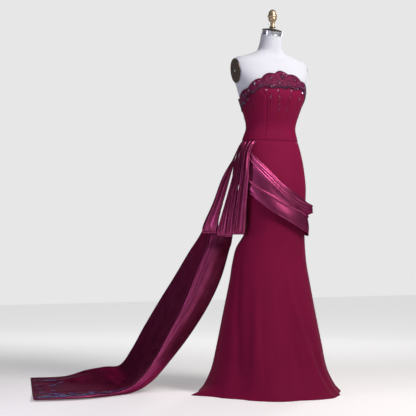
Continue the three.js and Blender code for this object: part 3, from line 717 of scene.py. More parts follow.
def lace_top(angle):
    return neckline(angle) - SCALLOP_RISE * (1 - scallop(angle) ** 0.8)


def lace_foot(angle):
    return neckline(angle, "foot") + 6 * (1 - scallop(angle))


def lace_place(u, v):
    angle = mix(-180 + BACK_OPENING, 180 - BACK_OPENING, u)
    swell = 0.5 * math.sin(math.pi * v)
    return shell(angle, mix(lace_foot(angle), lace_top(angle), v), LIE_GAP + LACE_THICK + swell)


cloth("lace_neck_band", "lace_band", 560, 16, lace_place, LACE_THICK, lace)
HALF_NECK = neck_lengths[-1] - BAND_END
print("neckline", round(2 * HALF_NECK), "mm,", round(2 * HALF_NECK / SCALLOP_PITCH), "scallops")

# %% [markdown]
# ## Beadwork
#
# Thousands of beads are sewn on the lace. Each is a ball with twenty faces, and all beads of one
# colour are one mesh. Geometry Nodes could scatter them, but beads are sewn in rows, flowers and
# leaves, so they are laid out here as an embroiderer would: a row on each edge, a flower in each
# scallop, leaves between, then loose beads to fill.

# %% Beads along the band
beads = {finish: [] for finish in BEAD_FINISHES}
crystals = []
chance = random.Random(11)
ON_LACE = LIE_GAP + LACE_THICK + 0.9    # lift of a bead's centre on the lace
LOOSE_BEADS = 620


def sew(finish, point, radius):
    beads[finish].append((point, radius))


def on_neck(length, z, lift=ON_LACE):
    return shell(angle_at(max(min(length, HALF_NECK), -HALF_NECK)), z, lift)


def sew_row(finish, from_length, to_length, spacing, height_at, radius):
    """A row of beads along the neckline, at the height that a function of the angle gives."""
    count = int(abs(to_length - from_length) / spacing)
    for i in range(count + 1):
        length = mix(from_length, to_length, i / count)
        sew(finish, on_neck(length, height_at(angle_at(length))), radius * chance.uniform(0.9, 1.1))


sew_row("garnet", -HALF_NECK, HALF_NECK, 3.3, lambda a: lace_top(a) - 2.2, 1.35)
sew_row("garnet", -HALF_NECK, HALF_NECK, 5.4, lambda a: lace_top(a) - 6.4, 1.1)
sew_row("violet", -HALF_NECK, HALF_NECK, 3.6, lambda a: lace_foot(a) + 2.4, 1.6)
sew_row("violet", -HALF_NECK, HALF_NECK, 4.2, lambda a: lace_foot(a) + 6.4, 1.5)
sew_row("amethyst", -HALF_NECK, HALF_NECK, 9.0, lambda a: lace_foot(a) + 9.8, 1.4)
sew_row("violet", -120, 120, 3.8, lambda a: neckline(a, "foot") + 13 + 2 * math.sin(a / 9), 1.6)


def sew_flower(length, z, size, petals):
    """A ring of petals, each an oval of small beads, round a crystal."""
    crystals.append((on_neck(length, z, ON_LACE), angle_at(length), size * 0.3))
    start = chance.uniform(0, 360)
    for petal in range(petals):
        lean = math.radians(start + petal * 360 / petals)
        for i in range(9):
            turn = 2 * math.pi * i / 9
            out = size * (0.95 + 0.5 * math.cos(turn))
            side = size * 0.3 * math.sin(turn)
            across = out * math.cos(lean) - side * math.sin(lean)
            up = out * math.sin(lean) + side * math.cos(lean)
            sew("violet" if i % 3 else "garnet", on_neck(length + across, z + up), 1.0)


def sew_leaf(length, z, long, lean, finish):
    """A leaf: two bowed rows of beads that meet at a tip, with a vein between."""
    tilt = math.radians(lean)
    for i in range(8):
        t = i / 7
        for bow in (-1, 0, 1):
            side = bow * long * 0.2 * math.sin(math.pi * t)
            across = long * t * math.cos(tilt) - side * math.sin(tilt)
            up = long * t * math.sin(tilt) + side * math.cos(tilt)
            if bow or i % 2:
                sew(finish if bow else "silver", on_neck(length + across, z + up), 0.95)


for number in range(-6, 7):
    crest = number * SCALLOP_PITCH
    if abs(crest) > HALF_NECK - 12:
        continue
    angle = angle_at(crest)
    height = lace_top(angle) - lace_foot(angle)
    sew_flower(crest + chance.uniform(-5, 5), lace_top(angle) - 0.34 * height, 8.2, 6)
    for side in (-1, 1):
        notch = crest + side * SCALLOP_PITCH * 0.33
        low = lace_foot(angle_at(notch)) + 0.3 * height
        sew_leaf(notch, low, 19, 90 - side * 38, "violet")
        sew_leaf(notch, low - 4, 15, 90 + side * 60, "garnet")
for _ in range(LOOSE_BEADS):
    length = chance.uniform(-HALF_NECK, HALF_NECK)
    angle = angle_at(length)
    share = 0.08 + 0.85 * chance.random() ** 1.5
    finish = chance.choices(("violet", "garnet", "silver"), (6, 4, 1.2))[0]
    sew(finish, on_neck(length, mix(lace_foot(angle), lace_top(angle), share)), chance.uniform(0.8, 1.3))
print("beads on the band", sum(len(row) for row in beads.values()))

# %% [markdown]
# Below the band the beads thin out on the crepe. Four strings run down the front from large
# crystals, and at the sides short sprays of beads fade towards the waist.

# %% Strings and sprays
ON_CREPE = 1.1              # lift of a bead's centre on the crepe
STRING_PITCH = 5.2
SPRAY_BEADS = 330
STRINGS = table(
    "head_angle head_z angle foot_angle top foot",
    (-31, 1238, -26, -24, 1226, 1166), (-12, 1237, -11, -8, 1229, 1132),
    (11, 1239, 10, 8, 1228, 1134), (39, 1236, 37, 28, 1226, 1174),
)
STRING_COLOURS = ("violet", "garnet", "violet", "silver", "violet", "ruby", "garnet", "violet", "ruby")
for string in STRINGS:
    crystals.append((shell(string["head_angle"], string["head_z"], 2.4), string["head_angle"], 3.2))
    count = int((string["top"] - string["foot"]) / STRING_PITCH)
    for i in range(count + 1):
        t = i / count
        point = shell(mix(string["angle"], string["foot_angle"], t), mix(string["top"], string["foot"], t),
                      ON_CREPE)
        finish = "ruby" if t > 0.85 else STRING_COLOURS[i % len(STRING_COLOURS)]
        sew(finish, point, 2.4 if i % 5 == 3 else chance.uniform(1.5, 2.0))

CRYSTALS = table(
    "angle z size",
    (-21, 1252, 3.8), (-17, 1257, 3.4), (-6, 1268, 3.4), (2, 1312, 3.8), (5, 1303, 3.2), (24, 1250, 3.8),
    (31, 1283, 3.2), (48, 1268, 3.8), (52, 1256, 3.2), (-47, 1268, 3.4), (-63, 1238, 3.4),
    (-71, 1226, 3.2), (-76, 1214, 3.4), (-68, 1202, 3.0), (-80, 1190, 3.2), (-38, 1276, 3.2),
    (66, 1244, 3.4), (79, 1228, 3.2), (98, 1200, 3.4), (118, 1188, 3.2), (140, 1180, 3.4),
    (162, 1176, 3.2), (-98, 1200, 3.4), (-120, 1186, 3.2), (-142, 1180, 3.4), (-163, 1176, 3.2),
)
for row in CRYSTALS:
    crystals.append((shell(row["angle"], row["z"], ON_LACE + 0.6), row["angle"], row["size"] * 0.72))
for _ in range(SPRAY_BEADS):
    side = chance.choice((-1, -1, 1))
    angle = side * chance.gauss(70, 17)
    drop = 62 * chance.random() ** 2.2
    z = lace_foot(angle) - 2 - drop
    sew(chance.choice(("violet", "garnet", "garnet")), shell(angle, z, ON_CREPE), chance.uniform(0.9, 1.4))
print("crystals", len(crystals))

# %% [markdown]
# ## Skirt
#
# Three crepe panels hang from the waist seam. They fit to the thigh, then flare into soft folds that
# deepen towards the hem. The big folds are in the shared face. The smaller creases are added here,
# each with its own place, lean, width and depth, because even ones look stamped.

# %% Skirt panels
SKIRT_THICK = 1.6
SKIRT_DEGREE = 2.7          # mm round the skirt in one degree, at the thigh
CREASES = table(
    "angle lean width depth low high",
    (-68, 2.0, 3.2, -2.4, 30, 420), (-47, 1.2, 3.8, 2.8, 10, 510), (-35, -0.8, 2.8, -2.2, 60, 380),
    (-15, 0.9, 3.4, 2.4, 5, 450), (3, -1.4, 2.6, -2.6, 40, 350), (13, 0.6, 4.2, 2.0, 90, 360),
    (52, -1.0, 3.6, 2.6, 15, 470), (67, -0.7, 2.8, -2.2, 20, 530),
    (76, 1.1, 3.4, 2.2, 80, 430), (96, 0.8, 3.0, 2.4, 10, 480), (121, -1.2, 3.8, -2.6, 30, 520),
    (146, 0.9, 3.0, 2.4, 60, 410), (171, -0.6, 3.4, -2.4, 10, 500), (198, 1.3, 2.8, 2.6, 40, 450),
    (225, -1.0, 3.6, -2.2, 20, 540), (250, 0.7, 3.0, 2.4, 50, 400),
    (2, -3.0, 8.0, -9.0, 60, 520), (22, -4.6, 4.5, 9.0, 30, 620), (33, -4.4, 5.0, -9.5, 30, 560),
    (-40, -1.6, 7.0, 5.5, 60, 560), (-62, -3.0, 6.0, -9.5, 30, 620),
    (30, 5.0, 3.6, -1.8, 560, 690), (40, 6.0, 3.2, 1.8, 550, 680), (20, 4.0, 3.0, 1.4, 600, 700),
    (-22, -8.0, 4.5, 1.0, 700, 860),
)


def crease_rise(angle, z):
    """How far the small creases stand out: each leans, and fades at both ends."""
    rise = 0.0
    for crease in CREASES:
        if crease["low"] - 40 < z < crease["high"]:
            t = (z - crease["low"] + 40) / (crease["high"] - crease["low"] + 40)
            middle = crease["angle"] + crease["lean"] * (z - crease["low"]) / 100
            fade = math.sin(math.pi * t ** 0.6)
            rise += crease["depth"] * fade * bell(turned_by(angle, middle), crease["width"])
    return rise


def skirt_panel(start, end):
    top = WAIST_SEAM - SEAM_GAP / 2
    width = (end - start) * SKIRT_DEGREE

    def place(u, v):
        z = round(mix(0, top, v ** 1.12), 3)
        edge = min(u, 1 - u) * width
        seam = SEAM_VALLEY * max(bell(edge, SEAM_TURN), bell(top - z, SEAM_TURN))
        angle = mix(start + half_gap(z), end - half_gap(z), u)
        return shell(angle, z, crease_rise(angle, z) - seam)

    return place


SKIRT = [
    ("front", -SIDE_SEAM, SIDE_SEAM, 200), ("back_l", SIDE_SEAM, 180, 100),
    ("back_r", 180, 360 - SIDE_SEAM, 100),
]
for part, start, end, columns in SKIRT:
    cloth(f"crepe_skirt_{part}", f"skirt_{part}", columns, 150, skirt_panel(start, end),
          SKIRT_THICK, crepe)

# %% [markdown]
# ## Hip drape
#
# A bias strip of satin is pleated along its upper edge, left plain in the middle and turned over
# along its lower edge, which hangs free. One surface can hold all three: its height off the skirt
# is a row of rolled pleats, a hollow, then a band with a rounded edge above and below.

# %% Drape
SATIN_THICK = 1.5
DRAPE_GAP = 1.1
DRAPE = table(
    "angle top pleat_foot band_top foot lift band_lift",
    (-74, 1010, 976, 882, 824, 0, 3), (-62, 994, 956, 866, 806, 1, 6), (-56, 981, 941, 852, 790, 2, 9),
    (-30, 922, 870, 811, 741, 3, 13), (-6, 857, 800, 774, 706, 4, 16),
    (21, 811, 762, 754, 673, 7, 18), (45, 793, 746, 736, 653, 16, 16),
    (66, 786, 740, 729, 645, 26, 10), (92, 790, 746, 734, 652, 18, 10), (130, 826, 785, 768, 694, 6, 12),
    (180, 893, 856, 829, 764, 4, 10), (218, 950, 918, 888, 836, 3, 6), (232, 972, 944, 914, 870, 3, 4),
)
PLEATS = [                  # place between the upper edge and the pleats' foot, height, width, drift
    (0.07, 2.8, 0.11, 0.0), (0.35, 3.8, 0.12, -0.02), (0.64, 3.6, 0.11, 0.02), (0.93, 4.8, 0.12, 0.0),
]
PLEAT_SHARE = 0.5
BAND_SHARE = 0.6875


@functools.lru_cache(maxsize=None)
def drape_row(angle):
    return {column: curve(DRAPE, "angle", angle, column) for column in DRAPE[0] if column != "angle"}


def drape_place(angle, v):
    """The height and the lift of the drape, from its upper edge at v 0 to its lower edge at 1."""
    row = drape_row(angle)
    base = DRAPE_GAP + SATIN_THICK
    if v < PLEAT_SHARE:
        w = v / PLEAT_SHARE
        wrap = (0.5 + 0.5 * ease((angle + 62) / 50)) * (1 - 0.3 * bell(angle - 72, 26))
        rolls = sum(
            high * bell(w - middle - drift * math.sin(math.radians(angle * 1.7)), wide)
            for middle, high, wide, drift in PLEATS
        )
        lift = row["lift"] * ease(w * 3) + wrap * rolls - 0.4
        return mix(row["top"], row["pleat_foot"], w), base + max(lift, 0)
    if v < BAND_SHARE:
        w = (v - PLEAT_SHARE) / (BAND_SHARE - PLEAT_SHARE)
        hollow = 1.2 * math.sin(math.pi * w)
        lift = mix(row["lift"], row["band_lift"] * 0.35, w) - hollow
        lip = PLEATS[-1][1] * 0.85 * bell(w + 0.1, 0.14)
        return mix(row["pleat_foot"], row["band_top"], w), base + max(lift + lip, 0)
    w = (v - BAND_SHARE) / (1 - BAND_SHARE)
    lip = 6.5 * bell(w - 0.05, 0.07) + 2.0 * bell(w - 0.97, 0.05)
    ripple = 1.6 * math.sin(math.radians(angle * 2.3)) * math.sin(math.pi * w) ** 2
    lift = mix(row["band_lift"] * 0.35, row["band_lift"], ease(w)) + 5 * math.sin(math.pi * w) ** 0.7
    return mix(row["band_top"], row["foot"], w), base + lift + lip + ripple


def drape_panel(start, end):
    def place(u, v):
        angle = round(mix(start, end, u), 4)
        z, lift = drape_place(angle, 1 - v)
        return shell(angle, z, lift)

    return place


turn = half_gap(750)
cloth("satin_drape_front", "drape_front", 240, 120, drape_panel(-72, SIDE_SEAM - turn), SATIN_THICK,
      satin)
cloth("satin_drape_back", "drape_back", 150, 120, drape_panel(SIDE_SEAM + turn, 232), SATIN_THICK,
      satin)

# %% [markdown]
# ## Hip loops
#
# Four strips of satin are gathered into the waist seam, fall over the hip and turn up at the bottom
# to be sewn behind. Each strip is spread between two edge curves, and the gathers run down it as
# ridges that are sharp at the seam and open out below.

# %% Loops
SWEEP = math.radians(30)
SEWN_LIFT = SATIN_THICK + 0.45


def beside(out, near, z):
    """A place by its distance out along the train's sweep, to its near side, and its height."""
    x = -math.cos(SWEEP) * out - math.sin(SWEEP) * near
    y = math.sin(SWEEP) * out - math.cos(SWEEP) * near
    return Vector((x, y, z))


LOOP_EDGES = table(
    "root swell high_out high_near low_out low_near end_out end_near",
    (-117, -117, 200, 58, 241, 66, 286, 66), (-101, -101, 170, 70, 201, 76, 226, 78),
    (-99, -99, 160, 76, 190, 80, 223, 82), (-88, -88, 143, 88, 171, 90, 191, 88),
    (-86, -86, 145, 92, 169, 94, 190, 90), (-76, -77, 129, 103, 145, 101, 162, 94),
    (-74, -76, 126, 106, 142, 104, 159, 96), (-49, -59, 91, 131, 100, 118, 110, 93),
)
LOOP_HIGH = 890
LOOP_LOW = 780
LOOP_END = [656, 645, 641, 650]
LOOP_HOLLOW = 24
LOOP_PLEAT = 5
LOOP_SWELL = (46, 14)       # drop below the seam, and rise, of the gathers
LOOP_SEAT = 0.05
GATHERS = [                 # for each loop: place across, width, height
    [(0.22, 0.12, 4.2), (0.46, 0.08, -4.6), (0.76, 0.13, 4.4)],
    [(0.24, 0.13, -3.4), (0.52, 0.12, 3.6), (0.80, 0.10, -2.6)],
    [(0.26, 0.13, 3.4), (0.55, 0.11, -3.6), (0.82, 0.10, 2.8)],
    [(0.13, 0.08, -3.2), (0.30, 0.09, 4.4), (0.48, 0.07, -4.6), (0.70, 0.11, 4.2), (0.90, 0.05, -2.4)],
]


def loop_edge(edge, end_z):
    """Down the front from the root, round the end and up the back."""
    drop, rise = LOOP_SWELL
    return [
        shell(edge["root"], WAIST_SEAM - 2, SEWN_LIFT),
        shell(edge["swell"], WAIST_SEAM - drop, rise),
        beside(edge["high_out"], edge["high_near"], LOOP_HIGH),
        beside(edge["low_out"], edge["low_near"], LOOP_LOW),
        beside(edge["end_out"] - 3, edge["end_near"], end_z + 26),
        beside(edge["end_out"], edge["end_near"] - LOOP_HOLLOW * 0.5, end_z),
        beside(edge["end_out"] - 3, edge["end_near"] - LOOP_HOLLOW, end_z + 26),
        beside(edge["low_out"], edge["low_near"] - LOOP_HOLLOW * 0.8, LOOP_LOW),
        beside(edge["high_out"] - 2, edge["high_near"] - LOOP_HOLLOW * 0.4, LOOP_HIGH),
    ]


def hip_loop(number):
    rear, front = LOOP_EDGES[number * 2:number * 2 + 2]
    rear_curve = loop_edge(rear, LOOP_END[number])
    front_curve = loop_edge(front, LOOP_END[number])
    edges = functools.lru_cache(maxsize=None)(
        lambda v: (through(rear_curve, v), through(front_curve, v))
    )

    def place(u, v):
        a, b = edges(v)
        outward = 1 if v < 0.58 else -1
        crown = LOOP_PLEAT * min((b - a).length / 40, 1.4) * math.sin(math.pi * u) * outward
        turning = min(abs(v - 0.62) / 0.1, 1)
        wander = 0.02 * math.sin(5 * v + number)
        gather = sum(rise * bell(u - middle - wander, wide) for middle, wide, rise in GATHERS[number])
        gather += 0.8 * math.sin(u * math.pi * (5 + number % 2 * 2)) * max(1 - v / 0.24, 0)
        gather *= min(u, 1 - u, 0.12) / 0.12 * turning * outward
        strip = a.lerp(b, u) + beside(crown * turning * 0.5, crown * turning + gather, 0)
        root = shell(mix(rear["root"], front["root"], u), WAIST_SEAM - 2, SEWN_LIFT)
        return strip.lerp(root, max(1 - v / LOOP_SEAT, 0))

    return place


for number in range(4):
    cloth(f"satin_hip_loop_{number + 1}", f"hip_loop_{number + 1}", 36, 150, hip_loop(number),
          SATIN_THICK, satin, flip=True)

# %% [markdown]
# ## Train
#
# The train leaves the hip under the loops, falls in a long trough between a far edge and a rounded
# ridge, and spreads over the floor. Its sections are a short table, and the finer creases run
# along it, each fading in and out at its own place.

# %% Train
TRAIN_ROOT = {"from": -131, "to": -100.5, "z": 1021, "lift": 1.3}
TRAIN = table(
    "place far_out far_near far_z ridge_out ridge_near ridge_z tuck_out tuck_near tuck_z sag roll",
    (0, 123.5, -21, 1020, 131.5, 25, 1021, 127, 50, 1022, 0, 0),
    (1, 172, -38, 926, 163, 14, 928, 147, 44, 930, 0, 2),
    (2, 222, -58, 825, 194, 10, 822, 138, 8, 823, 2, 3),
    (3, 296, -88, 666, 249, 26, 654, 163, 0, 633, 8, 12),
    (4, 355, -122, 576, 267, 44, 583, 175, 0, 587, 12, 14),
    (5, 420, -165, 472, 308, 60, 476, 209, 6, 470, 14, 14),
    (6, 486, -212, 372, 348, 76, 373, 261, 14, 357, 18, 14),
    (7, 568, -285, 243, 406, 92, 267, 334, 18, 240, 22, 14),
    (8, 627, -345, 144, 462, 106, 161, 412, 28, 137, 26, 12),
    (9, 692, -425, 62, 522, 118, 74, 492, 50, 46, 30, 9),
    (10, 768, -468, 48, 592, 148, 22, 576, 92, 2, 36, 5),
    (11, 856, -465, 32, 706, 262, 13, 700, 214, 0, 22, 4),
    (12, 955, -449, 5, 820, 320, 13, 818, 272, 0, 8, 4),
    (13, 1100, -400, 3, 922, 345, 13, 930, 296, 0, 8, 4),
)
TRAIN_CREASES = table(
    "across width rise start end",
    (0.12, 0.045, 2.5, 0.30, 0.80), (0.24, 0.05, -3.0, 0.35, 0.84), (0.36, 0.05, 2.5, 0.28, 0.76),
    (0.47, 0.035, -5.0, 0.14, 0.70), (0.57, 0.030, 4.0, 0.12, 0.62), (0.63, 0.022, -4.0, 0.10, 0.66),
    (0.73, 0.022, -3.5, 0.22, 0.68), (0.80, 0.022, 3.5, 0.16, 0.66), (0.90, 0.022, -3.0, 0.24, 0.70),
    (0.10, 0.030, 9.0, 0.74, 0.99), (0.22, 0.028, -4.0, 0.76, 0.99), (0.33, 0.035, 7.0, 0.72, 0.97),
    (0.45, 0.030, 5.0, 0.80, 1.02), (0.58, 0.030, 6.0, 0.70, 0.92), (0.66, 0.025, -3.0, 0.78, 1.02),
    (0.80, 0.030, 6.0, 0.66, 1.02),
)


@functools.lru_cache(maxsize=None)
def train_section(v):
    """Seven points across the train, from its far edge over the ridge to the tucked edge."""
    along = v * (len(TRAIN) - 1)
    row = {column: curve(TRAIN, "place", along, column) for column in TRAIN[0] if column != "place"}
    far = beside(row["far_out"], row["far_near"], row["far_z"])
    ridge = beside(row["ridge_out"], row["ridge_near"], row["ridge_z"])
    tuck = beside(row["tuck_out"], row["tuck_near"], row["tuck_z"])
    cheek = ridge.lerp(tuck, 0.35) + beside(-row["roll"] * 0.2, row["roll"], 0)
    hollow = [far.lerp(ridge, share) - Vector((0, 0, row["sag"] * deep))
              for share, deep in ((0.3, 0.9), (0.65, 1.0), (0.9, 0.25))]
    points = [far, *hollow, ridge, cheek, tuck]
    seated = max(1 - along, 0)
    turns = [mix(TRAIN_ROOT["from"], TRAIN_ROOT["to"], i / 6) for i in range(7)]
    return [point.lerp(shell(turn, TRAIN_ROOT["z"], TRAIN_ROOT["lift"]), seated)
            for point, turn in zip(points, turns)]


def train_place(u, v):
    point = through(train_section(v), u)
    for crease in TRAIN_CREASES:
        if crease["start"] < v < crease["end"]:
            t = (v - crease["start"]) / (crease["end"] - crease["start"])
            middle = crease["across"] + 0.02 * math.sin(7 * v)
            rise = crease["rise"] * math.sin(math.pi * t) * bell(u - middle, crease["width"])
            point += Vector((-0.35, -0.5, 0.8)) * rise
    point.z = max(point.z, SATIN_THICK if u < 0.8 else 0)
    return point


train = cloth("satin_train", "train", 110, 300, train_place, SATIN_THICK, satin,
              flip=True)

# %% [markdown]
# Behind the loops the train's gathers part, and light shows through. The opening is cut out of the
# grid before the thickness is added.

# %% The slit in the train
SLIT = {"across": (10 / 14, 12 / 14), "along": (2 / 28, 6 / 28)}
bm = bmesh.new()
bm.from_mesh(train.data)
cut = bm.loops.layers.uv["cut"]
size = [max(loop[cut].uv[axis] for face in bm.faces for loop in face.loops) for axis in (0, 1)]


def is_in_slit(face):
    middle = [sum(loop[cut].uv[axis] for loop in face.loops) / 4 / size[axis] for axis in (0, 1)]
    inside = [low < m < high for m, (low, high) in zip(middle, SLIT.values())]
    if not all(inside):
        return False
    t = (middle[1] - SLIT["along"][0]) / (SLIT["along"][1] - SLIT["along"][0])
    half = 0.5 * (SLIT["across"][1] - SLIT["across"][0]) * math.sin(math.pi * t) ** 0.5
    return abs(middle[0] - sum(SLIT["across"]) / 2) < half


bmesh.ops.delete(bm, geom=[face for face in bm.faces if is_in_slit(face)], context="FACES")
bm.to_mesh(train.data)
bm.free()
print("train faces", len(train.data.polygons))

# %% [markdown]
# ## Beads on the train
#
# The end of the train is embroidered where it lies on the floor: three waved rows near the ridge and
# leaves strewn beside them. Each bead is seated on the cloth along the surface's own normal, since
# the train twists and a plain offset upwards would bury half of them.


# %% Beads on the train
def on_train(u, v):
    """The centre of a bead on the train's face."""
    step = 0.002
    across = train_place(min(u + step, 1), v) - train_place(max(u - step, 0), v)
    along = train_place(u, min(v + step, 1)) - train_place(u, max(v - step, 0))
    normal = along.cross(across).normalized()
    return train_place(u, v) + normal * ON_CREPE


TRAIN_ROWS = [(0.50, 0.0024), (0.57, 0.0022), (0.62, 0.0024)]   # share across, step along
TRAIN_LEAVES = 64
ROW_START = 0.76
ROW_END = 0.992
for row, (across, spacing) in enumerate(TRAIN_ROWS):
    v = ROW_START
    while v < ROW_END:
        wave = 0.012 * math.sin(v * 150 + 2 * row)
        sew("amethyst" if row == 1 else "violet", on_train(across + wave, v), 1.6)
        v += spacing
for number in range(TRAIN_LEAVES):
    near = number % 4 > 0
    u = chance.uniform(0.38, 0.62) if near else chance.uniform(0.08, 0.45)
    v = chance.uniform(0.80, 0.985) if near else chance.uniform(0.93, 0.985)
    lean = chance.uniform(0, 2 * math.pi)
    long = chance.uniform(0.7, 1.2)
    for i in range(8):
        t = i / 7
        for bow in (-1, 1):
            side = bow * 0.3 * math.sin(math.pi * t)
            du = 0.034 * long * (t * math.cos(lean) - side * math.sin(lean))
            dv = 0.020 * long * (t * math.sin(lean) + side * math.cos(lean))
            place = (min(max(u + du, 0.03), 0.64), min(max(v + dv, 0.7), ROW_END))
            sew("amethyst" if i % 3 == 0 or number % 3 == 0 else "violet", on_train(*place), 1.7)
print("beads in all", sum(len(row) for row in beads.values()))

# %% [markdown]
# ## Making the beads and the crystals
#
# All beads of one finish become one mesh of small balls, which a renderer takes in at once, where
# thousands of objects would choke it. A crystal is a low eight-sided cone with its tip ground flat,
# turned to face out of the bodice.


# %% Make the beads and the crystals
def bead_mesh(name, places, material):
    bm = bmesh.new()
    for point, radius in places:
        bmesh.ops.create_icosphere(bm, subdivisions=1, radius=radius, matrix=Matrix.Translation(point))
    for face in bm.faces:
        face.smooth = True
    return to_object(name, bm, material)


for finish, places in beads.items():
    bead_mesh(f"beads_{finish}", places, BEAD_FINISHES[finish])

bm = bmesh.new()
for point, angle, size in crystals:
    facing = Matrix.Rotation(math.radians(angle), 4, "Z") @ Matrix.Rotation(math.radians(90), 4, "X")
    low = Matrix.Translation(point) @ facing @ Matrix.Translation((0, 0, size * 0.1))
    bmesh.ops.create_cone(
        bm, cap_ends=True, segments=8, radius1=size, radius2=size * 0.5, depth=size * 0.55, matrix=low
    )
to_object("cut_crystals", bm, crystal)
print("crystal faces", 10 * len(crystals))

# %% [markdown]
# ## Dress form
#
# The torso is a moulded shell under a jersey cover. Below the neckline it repeats the gown's face a
# little further in, and above it a second table gives the shoulders and the neck. The arm ends are
# cut flat with bisect_plane, which is cleaner than a boolean on so smooth a shape.

# %% Torso
FORM_INSET = 4.2
FORM_FOOT = 790
NECK = table(
    "z cy half front back lean",
    (1384, 14, 158, 60, 66, 0), (1394, 14, 122, 54, 60, 0), (1402, 13, 96, 51, 56, 2),
    (1411, 12, 72, 50, 53, 3), (1422, 9, 55, 48, 51, 5), (1450, 2, 47, 45, 47, 10),
    (1485, -5, 43, 43, 44, 16),
)
ARM_PLATE = {"x": 159.6, "y": 14, "z": 1327, "tilt": 7.4, "wide": 80, "tall": 102, "thick": 4}
TORSO_SIDES = 120
TORSO_RINGS = 150


def neck_point(row, angle):
    ahead = math.cos(math.radians(angle))
    y = -(row["front"] if ahead > 0 else row["back"]) * ahead
    lean = math.tan(math.radians(row["lean"]))
    return Vector((row["half"] * math.sin(math.radians(angle)), row["cy"] + y, row["z"] + y * lean))


def arm_plate_place(side, distance):
    """The arm plate's own frame: its face looks out of the armhole and a little down."""
    turn = Matrix.Rotation(side * math.radians(90 + ARM_PLATE["tilt"]), 4, "Y")
    middle = Matrix.Translation((side * ARM_PLATE["x"], ARM_PLATE["y"], ARM_PLATE["z"]))
    return middle @ turn @ Matrix.Translation((0, 0, distance))


bm = bmesh.new()
bmesh.ops.create_grid(bm, x_segments=TORSO_SIDES, y_segments=TORSO_RINGS, size=0.5)
columns = {}
for vert in bm.verts:
    u, v = (min(max(round(c + 0.5, 6), 0.0), 1.0) for c in vert.co[:2])
    angle = round(u % 1.0 * 360, 4)
    if angle not in columns:
        rings = [shell(angle, z, -FORM_INSET) for z in range(FORM_FOOT, 1372, 24)]
        columns[angle] = rings + [neck_point(row, angle) for row in NECK]
    vert.co = through(columns[angle], v)
bmesh.ops.remove_doubles(bm, verts=bm.verts, dist=0.01)
for side in (-1, 1):
    plane = arm_plate_place(side, 0)
    bmesh.ops.bisect_plane(
        bm, geom=[*bm.verts, *bm.edges, *bm.faces], plane_co=plane.translation,
        plane_no=plane.col[2][:3], clear_outer=True, dist=0.001,
    )
for face in bm.faces:
    face.smooth = True
rims = [edge for edge in bm.edges if edge.is_boundary]
for edge in rims:
    edge.smooth = False
bmesh.ops.holes_fill(bm, edges=rims, sides=0)
bmesh.ops.recalc_face_normals(bm, faces=bm.faces)
torso = to_object("form_torso_cover", bm, cover)
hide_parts("form_torso")
print("torso faces", len(torso.data.polygons))

# %% [markdown]
# ## Fittings
#
# The plates, the neck cap, the finial and the stand are turned or stamped. Turned pieces are half a
# profile spun round an axis, with small bevels where a lathe would break the edge.


# %% Turned and stamped pieces
def turned(name, node, profile, place, material, sides=64):
    """Spins a profile of radius and height round the local Z axis."""
    bm = bmesh.new()
    verts = [bm.verts.new((radius, 0, height)) for radius, height in profile]
    edges = [bm.edges.new(pair) for pair in zip(verts, verts[1:])]
    bmesh.ops.spin(
        bm, geom=[*verts, *edges], cent=(0, 0, 0), axis=(0, 0, 1), angle=2 * math.pi, steps=sides,
        use_merge=True,
    )
    bmesh.ops.remove_doubles(bm, verts=bm.verts, dist=0.001)
    bmesh.ops.recalc_face_normals(bm, faces=bm.faces)
    for face in bm.faces:
        face.smooth = True
    for edge in bm.edges:
        if len(edge.link_faces) == 2 and edge.calc_face_angle() > math.radians(32):
            edge.smooth = False
    bmesh.ops.transform(bm, matrix=place, verts=bm.verts)
    piece = to_object(name, bm, material)
    break_edges(piece, 0.5)
    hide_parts(node)
    return piece


def break_edges(piece, width):
    """A narrow rounding on the sharp edges, which catches a line of light."""
    bevel = piece.modifiers.new("broken edge", "BEVEL")
    bevel.width = width * MM
    bevel.segments = 2
    bevel.limit_method = "ANGLE"
    bevel.angle_limit = math.radians(32)
    bevel.harden_normals = True


for side, letter in ((-1, "r"), (1, "l")):
    bm = bmesh.new()
    bmesh.ops.create_circle(bm, cap_ends=True, segments=96, radius=1)
    bmesh.ops.scale(bm, vec=(ARM_PLATE["tall"] / 2, ARM_PLATE["wide"] / 2, 1), verts=bm.verts)
    bm.faces.ensure_lookup_table()
    disc = bm.faces[0]
    raised = bmesh.ops.extrude_face_region(bm, geom=[disc])["geom"]
    top = next(item for item in raised if isinstance(item, bmesh.types.BMFace))
    lift_by = Vector((0, 0, ARM_PLATE["thick"] - 0.8))
    bmesh.ops.translate(bm, vec=lift_by, verts=top.verts)
    bmesh.ops.inset_individual(bm, faces=[top], thickness=3.2, depth=0.8)
    bmesh.ops.inset_individual(bm, faces=[top], thickness=1.2, depth=-0.7)
    bmesh.ops.recalc_face_normals(bm, faces=bm.faces)
    bmesh.ops.transform(bm, matrix=arm_plate_place(side, SEAM_GAP), verts=bm.verts)
    plate = to_object(f"arm_plate_{letter}", bm, bronze)
    break_edges(plate, 0.5)
    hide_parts(f"form_arm_plate_{letter}")
    seat = SEAM_GAP * 2 + ARM_PLATE["thick"] - 0.7
    turned(f"arm_screw_{letter}", f"form_arm_screw_{letter}",
           [(0, 0), (3.6, 0), (3.4, 1.0), (2.6, 1.9), (1.2, 2.3), (0, 2.4)],
           arm_plate_place(side, seat), chrome, 24)
print("arm plates", ARM_PLATE["wide"], "x", ARM_PLATE["tall"], "mm")

# %% [markdown]
# ## Neck cap and finial
#
# A metal band closes the cover at the neck, a dark cap sits on it, and the finial stands on the cap
# with a small screw in its stem. The band and the cap lean with the neck, and the finial stands
# upright. Each is a turned profile, which is how a wood or brass turner would draw it.

